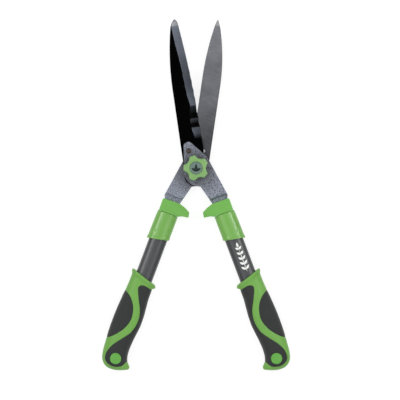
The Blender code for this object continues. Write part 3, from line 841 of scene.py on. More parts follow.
def arm_mesh(holes):
    """The plate, rounded and drilled, then sliced across the bend and cranked."""
    blank = prism(arm_outline(), ARM_LOW, ARM_HIGH)
    plate = with_changes(blank, holes, rounding=0.0005, rounded_above=40)
    down = to_lever(0, -1).to_3d()
    builder = bmesh.new()
    builder.from_mesh(plate)
    for i in range(BEND_CUTS + 1):
        reach = BEND_START + (BEND_END - BEND_START) * i / BEND_CUTS
        everything = builder.verts[:] + builder.edges[:] + builder.faces[:]
        bmesh.ops.bisect_plane(builder, geom=everything, plane_co=down * reach, plane_no=down)
    for vert in builder.verts:
        vert.co.z -= (ARM_LOW + ARM_HIGH) / 2 * eased(BEND_START, BEND_END, vert.co.dot(down))
    bmesh.ops.triangulate(builder, faces=[f for f in builder.faces if len(f.verts) > 4])
    builder.to_mesh(plate)
    builder.free()
    return plate


neck_drill = drill([Vector(p) * BOLT_HOLE for p in ((-1, -1), (1, -1), (1, 1), (-1, 1))])
for side, matrix, pivot_drill in (("upper", UPPER, bush_drill), ("lower", LOWER, neck_drill)):
    plate = arm_mesh([rivet_drill, pivot_drill])
    piece(f"{side}_arm_plate", plate, matrix, f"{side}_half", [ARM_PAINT], [f"{side}_arm"])

# %% [markdown]
# ## Rivets and the bolt
#
# A rivet is a turned piece: a shank that ends flush in the blade and a low dome that was peened over
# the arm. The bolt's hex head has a chamfer on the corners, made by cutting a hexagon with a cone: each
# ring takes the smaller of the hexagon and a circle.

# %% Rivets


def rivet_mesh():
    """A shank with a small chamfer below, and the peened dome over the arm."""
    head, rise, chamfer, steps = 0.0042, 0.0018, 0.0002, 12
    angles = [pi / 2 * i / steps for i in range(steps)]
    dome = [(head * cos(a), ARM_HIGH + chamfer + rise * sin(a)) for a in angles]
    shank = [(RIVET_RADIUS - chamfer, BLADE_LOW), (RIVET_RADIUS, BLADE_LOW + chamfer)]
    shank += [(RIVET_RADIUS, ARM_HIGH + 0.00005), (head, ARM_HIGH + 0.00005)]
    return turned(shank + dome + [(0.0002, ARM_HIGH + chamfer + rise)], 48)


for side, matrix, finish in (("upper", UPPER, DARK_RIVET), ("lower", LOWER, RIVET_PAINTED_HIGHLIGHT)):
    place = matrix @ Matrix.Translation((RIVET_X, RIVET_Y, 0))
    node = f"{side}_blade_rivet"
    piece(f"{side}_rivet", rivet_mesh(), place, f"{side}_half", [finish], [node])

# %% The pivot bolt
BOLT_RADIUS = 0.005
HEX_HALF_FLATS = 0.0085
NECK_CORNER = 0.0066


def hex_reach(a):
    """How far the hexagon's side is from its middle in direction a."""
    sixth = pi / 3
    return HEX_HALF_FLATS / cos((a + sixth / 2) % sixth - sixth / 2)


def bolt_mesh():
    """Hexagon head with a chamfer cone on both faces, a square neck, then the round shank."""
    steps, cuts = 96, 8
    angles = [2 * pi * i / steps for i in range(steps)]
    head_low, head_high = -PIVOT_HEIGHT, -(WASHER_HIGH + GAP)
    cone = [(0.0080 + 0.0019 * i / cuts, 0.0011 * i / cuts) for i in range(cuts + 1)]
    levels = [(limit, head_low + depth) for limit, depth in cone]
    levels += [(limit, head_high - depth) for limit, depth in reversed(cone)]
    rings = []

    def add_ring(reach, z):
        rings.append([(r * cos(a), r * sin(a), z) for r, a in zip(reach, angles)])

    for limit, z in levels:
        add_ring([min(limit, hex_reach(a)) for a in angles], z)
    for z in (head_high, -ARM_LOW):
        add_ring([min(NECK_CORNER, BOLT_RADIUS / max(abs(cos(a)), abs(sin(a)))) for a in angles], z)
    shank = ((BOLT_RADIUS, -ARM_LOW), (BOLT_RADIUS, KNOB_HIGH - 0.0040), (0.0041, KNOB_HIGH - 0.0030))
    for radius, z in shank:
        add_ring([radius] * steps, z)
    return loft(rings)


bolt_place = PIVOT @ Matrix.Rotation(-LEAN, 4, "Z")
piece("pivot_bolt_forged", bolt_mesh(), bolt_place, "lower_half", [ZINC], ["pivot_bolt"])

# %% [markdown]
# ## The tension knob
#
# The knob is a disc with five scallops for the fingers, which leaves five lobes. It is one closed loft:
# the rings start in the foot, climb the scalloped sides, turn over a rounded shoulder, dip a little
# across the top and rise again to the collar round the cap. Each ring is a blend of the star and a
# circle, which is what lets one loft do both. A soft minimum of disc and scallop rounds the corners.

# %% The knob
LOBES = 5
KNOB_RADIUS = 0.0196
SCALLOP_PLACE = 0.0255
SCALLOP_RADIUS = 0.0102
LOBE_CORNER = 0.0009
FIRST_LOBE = radians(35.3)
CAP_RADIUS = 0.0094


def knob_reach(a):
    """How far the star's side is from the axis, at angle a from a lobe: a disc less five scallops."""
    pitch = 2 * pi / LOBES
    from_scallop = a % pitch - pitch / 2
    chord = sqrt(max(0, SCALLOP_RADIUS**2 - (SCALLOP_PLACE * sin(from_scallop)) ** 2))
    scallop = SCALLOP_PLACE * cos(from_scallop) - chord
    return -LOBE_CORNER * log(exp(-KNOB_RADIUS / LOBE_CORNER) + exp(-scallop / LOBE_CORNER))


def knob_ring(shrink, roundness, radius, z, steps=240):
    """A ring between the star drawn in by shrink and a circle of that radius."""
    ring = []
    for i in range(steps):
        a = 2 * pi * i / steps
        reach = (knob_reach(a) - shrink) * (1 - roundness) + radius * roundness
        ring.append((reach * cos(a + FIRST_LOBE), reach * sin(a + FIRST_LOBE), z))
    return ring


def knob_mesh():
    """Rings from the foot up the scalloped side, over the shoulder and down into the cap's seat."""
    shoulder, dish, corner_steps, blend_steps = 0.0017, 0.00035, 12, 5
    foot = [(10.0, 1.2), (10.2, 0.2)]  # radius and height over the foot, all in millimetres
    side = [(1.8, 0.0), (0.9, 0.4), (0.2, 1.2), (0.0, 2.2), (0.2, 6.0)]  # drawn in, height over the foot
    collar = [(11.4, 0.08), (11.0, 0.0), (10.4, 0.1), (10.0, 0.7)]  # radius, depth under the top
    seat = [(9.7, 0.9), (9.6, 1.9), (5.6, 1.9)]
    bore = [(5.6, 10.0), (9.4, 9.9), (9.4, 1.2)]  # radius and height over the foot
    rings = [knob_ring(0, 1, radius * MM, KNOB_LOW + height * MM) for radius, height in foot]
    rings += [knob_ring(shrink * MM, 0, 0, KNOB_LOW + height * MM) for shrink, height in side]
    for i in range(corner_steps + 1):
        a = pi / 2 * i / corner_steps
        shrink = 0.0002 + shoulder * (1 - cos(a))
        rings.append(knob_ring(shrink, 0, 0, KNOB_HIGH - shoulder * (1 - sin(a))))
    rings += [knob_ring(0.0023, 0, 0, KNOB_HIGH - 0.00008), knob_ring(0.0028, 0, 0, KNOB_HIGH - dish)]
    for i in range(1, blend_steps + 1):
        rings.append(knob_ring(0.0030, i / blend_steps, 0.0118, KNOB_HIGH - dish))
    rings += [knob_ring(0, 1, radius * MM, KNOB_HIGH - depth * MM) for radius, depth in collar + seat]
    rings += [knob_ring(0, 1, radius * MM, KNOB_LOW + height * MM) for radius, height in bore]
    return loft(rings, closed=True)


knob = knob_mesh()
piece("tension_knob_moulded", knob, PIVOT, "knob", [KNOB_GREEN], ["tension_knob"], 40)

# %% [markdown]
# The cap snaps into the knob. It carries a small raised sprout of three leaves: a plain garden sign that
# belongs to nobody. A leaf is a strip whose width swells and closes again, so the same function also
# draws the sprig printed on the handle.

# %% Leaves, the cap and its emblem


def leaf_strip(base, tip, width, lift, surface, rows=16, columns=6):
    """A thin closed leaf from base to tip, laid on surface(x, y) and lift above and below it."""
    along = tip - base
    across = Vector((-along.y, along.x)).normalized()
    layers = []
    for depth in (lift, -lift):
        grid = []
        for i in range(rows + 1):
            s = i / rows
            half = width / 2 * max(0.03, sin(pi * s**0.8) ** 0.85)
            for k in range(columns + 1):
                shift = (2 * k / columns - 1) * half
                spot = base + along * s + across * shift
                grid.append((spot.x, spot.y, surface(spot.x, spot.y) + depth))
        layers.append(grid)
    count = columns + 1
    size = len(layers[0])
    faces = []
    for i in range(rows):
        for k in range(columns):
            a = i * count + k
            faces.append((a, a + 1, a + count + 1, a + count))
            faces.append((size + a, size + a + count, size + a + count + 1, size + a + 1))
    rim = list(range(count))
    rim += [i * count + columns for i in range(1, rows + 1)]
    rim += [rows * count + k for k in range(columns - 1, -1, -1)]
    rim += [i * count for i in range(rows - 1, 0, -1)]
    for a, b in zip(rim, rim[1:] + rim[:1], strict=True):
        faces.append((a, b, size + b, size + a))
    return layers[0] + layers[1], faces


def joined(parts):
    """One mesh from several (points, faces) pairs."""
    points, faces = [], []
    for more_points, more_faces in parts:
        start = len(points)
        points += more_points
        faces += [tuple(start + i for i in face) for face in more_faces]
    return mesh_from(points, faces)


def cap_top(x, y):
    """The cap is a very shallow dome."""
    return KNOB_HIGH - 0.0001 - 0.00025 * (hypot(x, y) / CAP_RADIUS) ** 2


def cap_mesh():
    rim = [(CAP_RADIUS, KNOB_HIGH - 0.0014), (CAP_RADIUS, KNOB_HIGH - 0.0008)]
    rim += [(CAP_RADIUS - 0.0001, KNOB_HIGH - 0.0006), (CAP_RADIUS - 0.0004, KNOB_HIGH - 0.0004)]
    top = [(r * MM, cap_top(r * MM, 0)) for r in (8.6, 8.0, 7.0, 6.0, 4.0, 2.0, 0.2)]
    return turned(rim + top, 96)


def cap_plastic(name, dark, light):
    finish = Finish(name, metallic=0.25, Specular_IOR_Level=0.5)
    drift = finish.noise(0.006, detail=4)
    fine = finish.noise(0.0005, detail=2)
    return finish.done(finish.mix(drift, dark, light), 0.36 + 0.12 * drift, fine, 0.00002, 0.4)


CAP_GREY = cap_plastic("cap_grey", colour(98, 120, 112), colour(116, 137, 130))
EMBLEM_DARK = cap_plastic("emblem_dark", colour(16, 32, 28), colour(30, 50, 44))
piece("knob_cap_domed", cap_mesh(), PIVOT, "knob", [CAP_GREY], ["knob_cap"])


def sprout_mesh():
    relief, root = 0.00014, Vector((0, -0.0062))
    parts = []
    for lean, start, length, width in ((0, 0, 12.8, 4.6), (56, 1.4, 8.4, 4.0), (-56, 1.4, 8.4, 4.0)):
        along = Vector((sin(radians(lean)), cos(radians(lean))))
        foot = root + Vector((0, start * MM))
        parts.append(leaf_strip(foot, foot + along * length * MM, width * MM, relief, cap_top))
    return joined(parts)


piece("cap_sprout_emblem", sprout_mesh(), PIVOT, "knob", [EMBLEM_DARK])

# %% [markdown]
# ## Tube and sleeve
#
# The handle tube is a flattened oval, wider than it is deep. The sleeve is the same section drawn
# larger. It swells a little towards its slanted lower end, where a low bead stiffens the mouth, and a
# small round dimple is moulded near its outer side.

# %% Oval sections
TUBE_HALF_WIDTH = 0.0139
TUBE_HALF_DEPTH = 0.0105
TUBE_FULLNESS = 2.3
TUBE_WALL = 0.0015
TUBE_TOP, TUBE_END = -0.0807, -0.300


def tube_ring(y, grow, slant=0.0, outward=0.0, inward=0.0, steps=112):
    """A section of the tube grown all round, moved out at either side and tilted by slant."""
    middle = TUBE_X + (outward - inward) / 2
    half_width = TUBE_HALF_WIDTH + grow + (outward + inward) / 2
    ring = []
    for i in range(steps):
        across, deep = superellipse(2 * pi * i / steps, TUBE_FULLNESS)
        x = middle + across * half_width
        ring.append((x, y + slant * (x - TUBE_X), deep * (TUBE_HALF_DEPTH + grow)))
    return ring


def tube_mesh():
    outer = [tube_ring(y, 0) for y in (TUBE_TOP, TUBE_END)]
    inner = [tube_ring(y, -TUBE_WALL) for y in (TUBE_END, TUBE_TOP)]
    return loft(outer + inner, closed=True)


SLEEVE_STATIONS = [  # y, growth, slant, outward, inward, all in millimetres except the slant
    (-80.4, 1.6, 0.0, 0.2, 0.0),
    (-80.5, 1.95, 0.0, 0.3, 0.0),
    (-80.8, 2.1, 0.0, 0.3, 0.1),
    (-81.6, 2.1, 0.0, 0.4, 0.1),
    (-88.0, 2.1, 0.0, 0.7, 0.2),
    (-95.0, 2.1, 0.0, 0.9, 0.3),
    (-104.0, 2.1, -0.06, 1.1, 0.3),
    (-112.0, 2.1, -0.13, 1.2, 0.2),
    (-117.4, 2.1, -0.19, 1.3, 0.1),
    (-118.2, 2.15, -0.20, 1.3, 0.1),
    (-118.8, 2.45, -0.20, 1.4, 0.1),
    (-119.8, 2.55, -0.20, 1.5, 0.1),
    (-121.6, 2.55, -0.20, 1.5, 0.1),
    (-122.5, 2.4, -0.20, 1.5, 0.1),
    (-122.85, 1.9, -0.20, 1.4, 0.0),
    (-122.85, 0.35, -0.20, 0.0, 0.0),
]
SLEEVE_STEP = 0.6
DIMPLE = Vector((0.0255, -0.1120))
DIMPLE_RADIUS = 0.0015
DIMPLE_DEPTH = 0.0005


def dimpled(ring):
    """The ring with a small round dimple pressed into both faces of the sleeve."""
    found = []
    for x, y, z in ring:
        away = (Vector((x, y)) - DIMPLE).length / DIMPLE_RADIUS
        found.append((x, y, z - DIMPLE_DEPTH * exp(-(away**2)) * (1 if z > 0 else -1)))
    return found


def sleeve_mesh():
    rings = []
    for (y0, *low), (y1, *high) in zip(SLEEVE_STATIONS, SLEEVE_STATIONS[1:], strict=False):
        pieces = max(1, round((y0 - y1) / SLEEVE_STEP))
        for i in range(pieces):
            t = i / pieces
            grow, slant, outward, inward = (a + (b - a) * t for a, b in zip(low, high, strict=True))
            y = (y0 + (y1 - y0) * t) * MM
            rings.append(dimpled(tube_ring(y, grow * MM, slant, outward * MM, inward * MM, 168)))
    y, grow, slant, outward, inward = SLEEVE_STATIONS[-1]
    rings.append(tube_ring(y * MM, grow * MM, slant, steps=168))
    rings.append(tube_ring(SLEEVE_STATIONS[0][0] * MM, grow * MM, steps=168))
    return loft(rings, closed=True)


print("sleeve rings:", len(SLEEVE_STATIONS))

# %% [markdown]
# ## The buffer
#
# The buffer is a block of matt plastic at the top of each handle. Its nose points inwards: when the
# shears close, the two noses meet and take the knock. It is a drawn outline with real thickness and
# generous rounding, and a slot lets the arm through.

# %% The buffer


def buffer_mesh():
    half_depth = 0.0122
    corners = [
        (0.0045, -0.0600, 0.002),
        (0.0312, -0.0606, 0.0025),
        (0.0309, -0.0800, 0.0008),
        (0.0003, -0.0800, 0.002),
        (-0.0060, -0.0770, 0.010),
        (-0.0158, -0.0757, 0.0012),
        (-0.0151, -0.0722, 0),
        (-0.0143, -0.0676, 0.003),
        (-0.0055, -0.0630, 0.02),
    ]
    slot_depth = 0.00205
    slot = [(0.0034, -0.055), (0.0297, -0.055), (0.0297, -0.085), (0.0034, -0.085)]
    slot_tool = prism([Vector(p) for p in slot], -slot_depth, slot_depth)
    block = prism(rounded(corners), -half_depth, half_depth)
    return with_changes(block, [slot_tool], rounding=0.0026, segments=6)


print("buffer drawn")

# %% [markdown]
# ## The grip's shape
#
# The grip is the most sculpted piece: a slanted flange at the top, a belly that fills the palm, a heel
# and a toe. A table gives its stations from the mouth round the flange, down the body and round the end.
# Each station is a superellipse, and the slope tilts it so that the flange leans.

# %% Stations of the grip
GRIP_FULLNESS = 2.4
GRIP_STATIONS = [
    # y at the middle, inner x, outer x, half depth, slope across; in millimetres
    (-190.0, 1.75, 30.25, 10.85, 0.32),
    (-185.4, 1.75, 30.25, 10.85, 0.32),
    (-184.8, 1.35, 30.65, 11.3, 0.32),
    (-184.6, 0.7, 31.4, 12.0, 0.32),
    (-184.6, -2.8, 34.9, 13.6, 0.32),
    (-184.8, -4.3, 36.2, 14.7, 0.32),
    (-185.4, -5.3, 37.0, 15.3, 0.32),
    (-186.6, -6.0, 37.4, 15.7, 0.32),
    (-188.0, -6.1, 37.3, 15.6, 0.32),
    (-189.6, -5.4, 36.6, 15.1, 0.32),
    (-191.2, -3.6, 35.7, 14.4, 0.31),
    (-193.5, -2.5, 35.2, 14.0, 0.29),
    (-200.0, -2.1, 35.3, 14.2, 0.22),
    (-212.0, -2.2, 36.0, 14.8, 0.10),
    (-228.0, -3.5, 37.2, 15.6, 0.0),
    (-245.0, -5.0, 38.2, 15.75, 0.0),
    (-256.0, -5.2, 38.5, 15.75, 0.0),
    (-268.0, -4.2, 38.5, 15.75, 0.0),
    (-282.0, -2.6, 38.0, 15.7, 0.0),
    (-296.0, -1.8, 37.2, 15.6, 0.0),
    (-306.0, -2.4, 36.4, 15.6, 0.0),
    (-314.0, -4.8, 35.5, 15.6, 0.0),
    (-319.0, -8.4, 34.4, 15.5, 0.0),
    (-321.6, -11.0, 33.7, 15.3, 0.0),
    (-323.5, -12.0, 33.0, 15.0, 0.0),
    (-325.5, -12.1, 32.1, 14.6, 0.0),
    (-327.0, -11.0, 31.2, 14.1, 0.0),
    (-328.8, -8.0, 29.8, 13.2, 0.0),
    (-330.5, -4.4, 28.2, 12.0, 0.0),
    (-332.2, -0.4, 26.2, 10.3, 0.0),
    (-333.5, 3.5, 24.0, 8.4, 0.0),
    (-334.6, 7.2, 21.4, 5.9, 0.0),
    (-335.2, 10.2, 18.6, 3.4, 0.0),
    (-335.4, 13.9, 14.9, 0.4, 0.0),
]


def grip_knots():
    """Each column of the table against the distance travelled over the skin."""
    reach, knots = 0.0, [[] for _ in GRIP_STATIONS[0]]
    before = GRIP_STATIONS[0]
    for station in GRIP_STATIONS:
        reach += max(abs(a - b) for a, b in zip(station[:4], before[:4], strict=True))
        before = station
        for column, number in zip(knots, station, strict=True):
            column.append((reach, number))
    return knots


GRIP_KNOTS = grip_knots()
GRIP_REACH = GRIP_KNOTS[0][-1][0]
print("distance over the grip's skin:", round(GRIP_REACH, 1), "mm")

# %% [markdown]
# A place on the skin has two numbers, like a place on a map: how far along, and how far round from the
# outer side (0) over the top to the inner side. One function goes from the map to the solid, and one
# goes back, which is how the pads' outlines, drawn as seen from above, are carried onto the map.

# %% The map of the skin
ROUND_SCALE = 20.0  # millimetres of map for each radian round


def skin(reach, turn, lift):
    """The point on the skin at a map place, lifted along the surface's normal."""
    spot = bare_skin(reach, turn)
    step = 0.05
    along = bare_skin(min(GRIP_REACH, reach + step), turn) - bare_skin(max(0, reach - step), turn)
    around = bare_skin(reach, turn + 0.01) - bare_skin(reach, turn - 0.01)
    normal = around.cross(along)
    if normal.length < 1e-12:
        return spot
    return spot + normal.normalized() * lift


def bare_skin(reach, turn):
    y, inner, outer, depth, slope = (value_at(knots, reach) for knots in GRIP_KNOTS)
    across, deep = superellipse(turn, GRIP_FULLNESS)
    x = (inner + outer) / 2 + across * (outer - inner) / 2
    return Vector((x, y + slope * (x - TUBE_X / MM), deep * depth)) * MM


def reach_at(y):
    """How far along the map the body is at height y, past the flange."""
    low, high = GRIP_KNOTS[0][9][0], GRIP_REACH
    for _ in range(40):
        middle = (low + high) / 2
        if value_at(GRIP_KNOTS[0], middle) > y:
            low = middle
        else:
            high = middle
    return low


def on_map(x, y):
    """The map place of a point seen from above, in millimetres, and whether it is on the grip."""
    height = y
    for _ in range(8):
        reach = reach_at(height)
        slope = value_at(GRIP_KNOTS[4], reach)
        height = y - slope * (x - TUBE_X / MM)
    inner, outer = value_at(GRIP_KNOTS[1], reach), value_at(GRIP_KNOTS[2], reach)
    across = (x - (inner + outer) / 2) / ((outer - inner) / 2)
    held = min(1, max(-1, across))
    turn = acos(copysign(abs(held) ** (GRIP_FULLNESS / 2), held))
    return Vector((turn * ROUND_SCALE, reach)), abs(across) < 1


print("the belly's middle is at", on_map(16, -250)[0].to_tuple(1), "on the map")

# %% [markdown]
# The pads are let into the grip along crisp lines. The map is cut along those lines by a constrained
# triangulation, which keeps every line as an edge of the mesh. Rows of points on both sides of a line
# leave room to round both pieces down into a fine groove.

# %% Outlines of the pads on the map
OUTER_PAD_EDGE = [
    (44, -210), (36, -213.5), (25, -220), (16, -231.5), (11.7, -246), (12.3, -258),
    (18, -271.5), (27, -283), (37.5, -292), (44, -296),
]
INNER_PAD_EDGE = [
    (-12, -201), (-2.5, -199.5), (10, -196.8), (17, -199), (18.3, -204.5), (12, -218.5), (3.5, -235),
    (0.5, -251), (4, -269.5), (14, -284), (24, -297.5), (29.5, -311), (27.5, -324.5), (15, -330),
    (1.5, -326), (-5, -316.5), (-12, -308),
]
PLUG_X, PLUG_Y, PLUG_RADIUS = 12.8, -316.7, 8.6
MAP_WIDTH = pi * ROUND_SCALE


def evenly(path, spacing):
    """The same path with points an even distance apart."""
    lengths = [0.0]
    for a, b in zip(path, path[1:], strict=False):
        lengths.append(lengths[-1] + (b - a).length)
    count = max(2, round(lengths[-1] / spacing))
    found, i = [], 0
    for k in range(count + 1):
        target = lengths[-1] * k / count
        while i < len(path) - 2 and lengths[i + 1] < target:
            i += 1
        span = lengths[i + 1] - lengths[i]
        found.append(path[i].lerp(path[i + 1], 0 if span == 0 else (target - lengths[i]) / span))
    return found


def pad_line(corners, side):
    """A pad's line on the map, from where it leaves the grip's side to where it comes back."""
    path = [on_map(p.x, p.y) for p in smooth_path([Vector(c) for c in corners], 16)]
    first = next(i for i, (_, inside) in enumerate(path) if inside)
    last = next(i for i in range(len(path) - 1, -1, -1) if path[i][1])
    line = [spot for spot, _ in path[first : last + 1]]
    line[0] = Vector((side, line[0].y))
    line[-1] = Vector((side, line[-1].y))
    return evenly(line, 1.0)


def beside(line, distance, side):
    """The line moved sideways, with its ends kept on the map's border."""
    moved = []
    for i, spot in enumerate(line):
        along = (line[min(i + 1, len(line) - 1)] - line[max(i - 1, 0)]).normalized()
        moved.append(spot + Vector((-along.y, along.x)) * distance)
    moved[0].x = moved[-1].x = side
    return [Vector((min(MAP_WIDTH, max(0, p.x)), p.y)) for p in moved]


OUTER_LINE = pad_line(OUTER_PAD_EDGE, 0)
INNER_LINE = pad_line(INNER_PAD_EDGE, MAP_WIDTH)
print("points on the pads' lines:", len(OUTER_LINE), len(INNER_LINE))

# %% Cut the map into triangles


def inside(spot, loop):
    """Whether a place is inside a closed loop."""
    odd = False
    for a, b in zip(loop, loop[1:] + loop[:1], strict=True):
        if (a.y > spot.y) != (b.y > spot.y):
            if spot.x < a.x + (b.x - a.x) * (spot.y - a.y) / (b.y - a.y):
                odd = not odd
    return odd


def distance_to(spot, line):
    """The distance to a path of points about 1 mm apart."""
    nearest = min(range(len(line)), key=lambda i: (line[i] - spot).length_squared)
    best = (line[nearest] - spot).length
    for a, b in ((nearest - 1, nearest), (nearest, nearest + 1)):
        if 0 <= a and b < len(line):
            start, along = line[a], line[b] - line[a]
            if along.length_squared > 0:
                t = min(1, max(0, (spot - start).dot(along) / along.length_squared))
                best = min(best, (start + along * t - spot).length)
    return best


def map_rows():
    """Places along the map: close together at the flange and the toe, wider between."""
    rows, reach = [0.0], 0.0
    while reach < GRIP_REACH:
        near_end = min(eased(26, 40, reach), 1 - eased(GRIP_REACH - 40, GRIP_REACH - 26, reach))
        reach += 0.65 + 0.95 * near_end
        rows.append(min(reach, GRIP_REACH))
    return rows


def cut_map():
    """The map's points and triangles, with the pads' lines and the plug's ring kept as edges."""
    lines = []
    for line, side in ((OUTER_LINE, 0), (INNER_LINE, MAP_WIDTH)):
        lines += [beside(line, d, side) for d in (-0.9, -0.35, 0, 0.35, 0.9)]
    for radius in (PLUG_RADIUS, PLUG_RADIUS + 0.3, PLUG_RADIUS + 0.8):
        ring = circle(radius, 64, (PLUG_X, PLUG_Y))
        lines.append([on_map(p.x, p.y)[0] for p in ring + ring[:1]])
    columns, kept_clear = 46, 0.45
    points, edges = [], []
    rows = map_rows()
    for row in rows:
        for k in range(columns + 1):
            spot = Vector((MAP_WIDTH * k / columns, row))
            border = k in (0, columns) or row in (rows[0], rows[-1])
            if border or all(distance_to(spot, line) > kept_clear for line in lines):
                points.append(spot)
    for line in lines:
        start = len(points)
        points += line
        edges += [(start + i, start + i + 1) for i in range(len(line) - 1)]
    spots, _, triangles, *_ = delaunay_2d_cdt(points, edges, [], 0, 1e-4)
    return spots, triangles


MAP_SPOTS, MAP_TRIANGLES = cut_map()
print("map:", len(MAP_SPOTS), "points,", len(MAP_TRIANGLES), "triangles")

# %% [markdown]
# Now each triangle is sorted: green core, inner pad or outer pad. The skin is rounded down into a groove
# at every line and each pad rises a little above the green in its middle, as a real overmoulding does.
# Each piece is a closed shell: an outer skin, an inner skin below it and a wall along its line.

# %% Wrap the map round the grip
SHELL = 2.2  # millimetres that a pad goes in
GROOVE = 0.45
CROWN = 0.35


def spot_lift(spot, kind, to_line, to_plug):
    """How far the skin stands above the plain shape here, in millimetres."""
    lift = -GROOVE * (1 - eased(0, 0.9, to_line))
    if kind == "core":
        return lift
    if to_plug < 0.8:
        return lift - 0.5 * (1 - eased(0.0, 0.8, to_plug))
    return lift + CROWN * eased(0.5, 7.0, to_line)


def sort_map():
    """The kind of every triangle, and the distances that the lifts need."""
    kinds = []
    for triangle in MAP_TRIANGLES:
        middle = sum((MAP_SPOTS[i] for i in triangle), Vector((0, 0))) / 3
        if inside(middle, OUTER_LINE):
            kinds.append("outer")
        elif inside(middle, INNER_LINE):
            kinds.append("inner")
        else:
            kinds.append("core")
    to_lines = [min(distance_to(s, OUTER_LINE), distance_to(s, INNER_LINE)) for s in MAP_SPOTS]
    to_plugs = []
    for spot in MAP_SPOTS:
        place = bare_skin(spot.y, spot.x / ROUND_SCALE) / MM
        to_plugs.append(hypot(place.x - PLUG_X, place.y - PLUG_Y) - PLUG_RADIUS)
    return kinds, to_lines, to_plugs


MAP_KINDS, TO_LINES, TO_PLUGS = sort_map()


def wrapped(kind, skin_kinds, floor_kinds):
    """A closed shell: the skin over skin_kinds, the floor under floor_kinds and walls between."""
    points, faces, index = [], [], {}

    def corner(i, level):
        if (i, level) not in index:
            spot = MAP_SPOTS[i]
            lift = spot_lift(spot, kind, TO_LINES[i], TO_PLUGS[i]) if level == "skin" else -SHELL
            place = skin(spot.y, spot.x / ROUND_SCALE, lift * MM)
            if spot.x < 1e-6 or spot.x > MAP_WIDTH - 1e-6:
                place.z = 0
            index[i, level] = len(points)
            points.append(place)
        return index[i, level]

    for triangle, here in zip(MAP_TRIANGLES, MAP_KINDS, strict=True):
        if here in skin_kinds:
            faces.append([corner(i, "skin") for i in triangle])
        if here in floor_kinds:
            faces.append([corner(i, "floor") for i in triangle])
    for a, b in wall_edges(skin_kinds):
        faces.append([corner(a, "skin"), corner(b, "skin"), corner(b, "floor"), corner(a, "floor")])
    count = len(points)
    below = [Vector((p.x, p.y, -p.z)) for p in points]
    mirrored = [[count + i for i in reversed(face)] for face in faces]
    return [tuple(p) for p in points + below], faces + mirrored


def wall_edges(skin_kinds):
    """The edges that have a triangle of these kinds on one side only, within the map."""
    seen = {}
    for triangle, here in zip(MAP_TRIANGLES, MAP_KINDS, strict=True):
        for a, b in zip(triangle, triangle[1:] + triangle[:1], strict=True):
            seen.setdefault((min(a, b), max(a, b)), []).append(here in skin_kinds)
    return [edge for edge, sides in seen.items() if len(sides) == 2 and sides[0] != sides[1]]


print("kinds:", {kind: MAP_KINDS.count(kind) for kind in ("core", "outer", "inner")})

# %% [markdown]
# The core's shell is open in two places, where the map starts and where it ends: down in the socket for
# the tube, and at a spot under the toe. One face closes each. The pads close by themselves.

# %% Core, pads and plug


def core_mesh():
    points, faces = wrapped("core", {"core"}, {"outer", "inner"})
    ends = [end_face(points, station) for station in (GRIP_STATIONS[0], GRIP_STATIONS[-1])]
    return mesh_from(points, faces + ends)


def end_face(points, station):
    """The points that lie in a station's plane, in order round the station's middle."""
    y, inner, outer, _, slope = station
    off_plane = [p[1] - y * MM - slope * (p[0] - TUBE_X) for p in points]
    on_plane = [i for i, distance in enumerate(off_plane) if abs(distance) < 1e-7]
    middle = (inner + outer) / 2 * MM
    return tuple(sorted(on_plane, key=lambda i: atan2(points[i][2], points[i][0] - middle)))


def plug_mesh():
    """A disc right through the grip, with a shallow ring pressed into both of its faces."""
    profile = [(8.6, 12.6), (8.6, 15.0), (8.4, 15.4), (8.0, 15.6), (7.4, 15.5), (7.0, 15.3)]
    profile += [(6.0, 15.4), (3.0, 15.6), (0.2, 15.7)]  # radius and height from the middle
    upper = [(radius * MM, height * MM) for radius, height in profile]
    lower = [(radius, -height) for radius, height in reversed(upper)]
    return turned(lower + upper, 72)


core = core_mesh()
inner_pad = mesh_from(*wrapped("inner", {"inner"}, {"inner"}))
outer_pad = mesh_from(*wrapped("outer", {"outer"}, {"outer"}))
print("faces:", [len(mesh.polygons) for mesh in (core, inner_pad, outer_pad)])

# %% [markdown]
# ## Assemble the handles
#
# Everything above was made once. The loop places each piece on the right handle and on the left one,
# whose frame is the turned-over lever, and each copy gets its own mesh so that it can be taken apart.

# %% Both handles
HANDLE_PIECES = [  # name, mesh, finish, CAD node, slot, sharp above
    ("tube_drawn", tube_mesh(), TUBE_COATING, "tube", "tube_paint", 40),
    ("sleeve_polished", sleeve_mesh(), SLEEVE_GREEN, "sleeve", "sleeve_green", 40),
    ("buffer_moulded", buffer_mesh(), BUFFER_GREEN, "buffer", "buffer_green", 35),
    ("grip_core_moulded", core, GRIP_GREEN, "grip_core", "grip_green", 60),
    ("grip_inner_skin", inner_pad, PAD_CHARCOAL, "grip_inner_pad", "pad_charcoal", 60),
    ("grip_outer_skin", outer_pad, PAD_CHARCOAL, "grip_outer_pad", "pad_charcoal", 60),
]
for side, (body, matrix) in HANDLES.items():
    for name, mesh, finish, node, slot, sharp_above in HANDLE_PIECES:
        stands_for = [f"{side}_{node}"]
        piece(f"{side}_{name}", mesh.copy(), matrix, body, [finish], stands_for, sharp_above)
    plug_place = matrix @ Matrix.Translation((PLUG_X * MM, PLUG_Y * MM, 0))
    plug_node = [f"{side}_end_plug"]
    piece(f"{side}_plug_dished", plug_mesh(), plug_place, body, [PLUG_GREEN], plug_node)

# %% [markdown]
# ## The printed sprig
#
# One tube carries a white print. Here it is a sprig: a stem with pairs of leaves, in thin film that
# follows the tube's curve. Real geometry keeps its edges sharp at any size.

# %% A sprig of leaves on the right tube


def tube_top(x, y):
    """The height of the tube's upper side."""
    across = min(1, abs(x - TUBE_X) / TUBE_HALF_WIDTH)
    return TUBE_HALF_DEPTH * (1 - across**TUBE_FULLNESS) ** (1 / TUBE_FULLNESS)


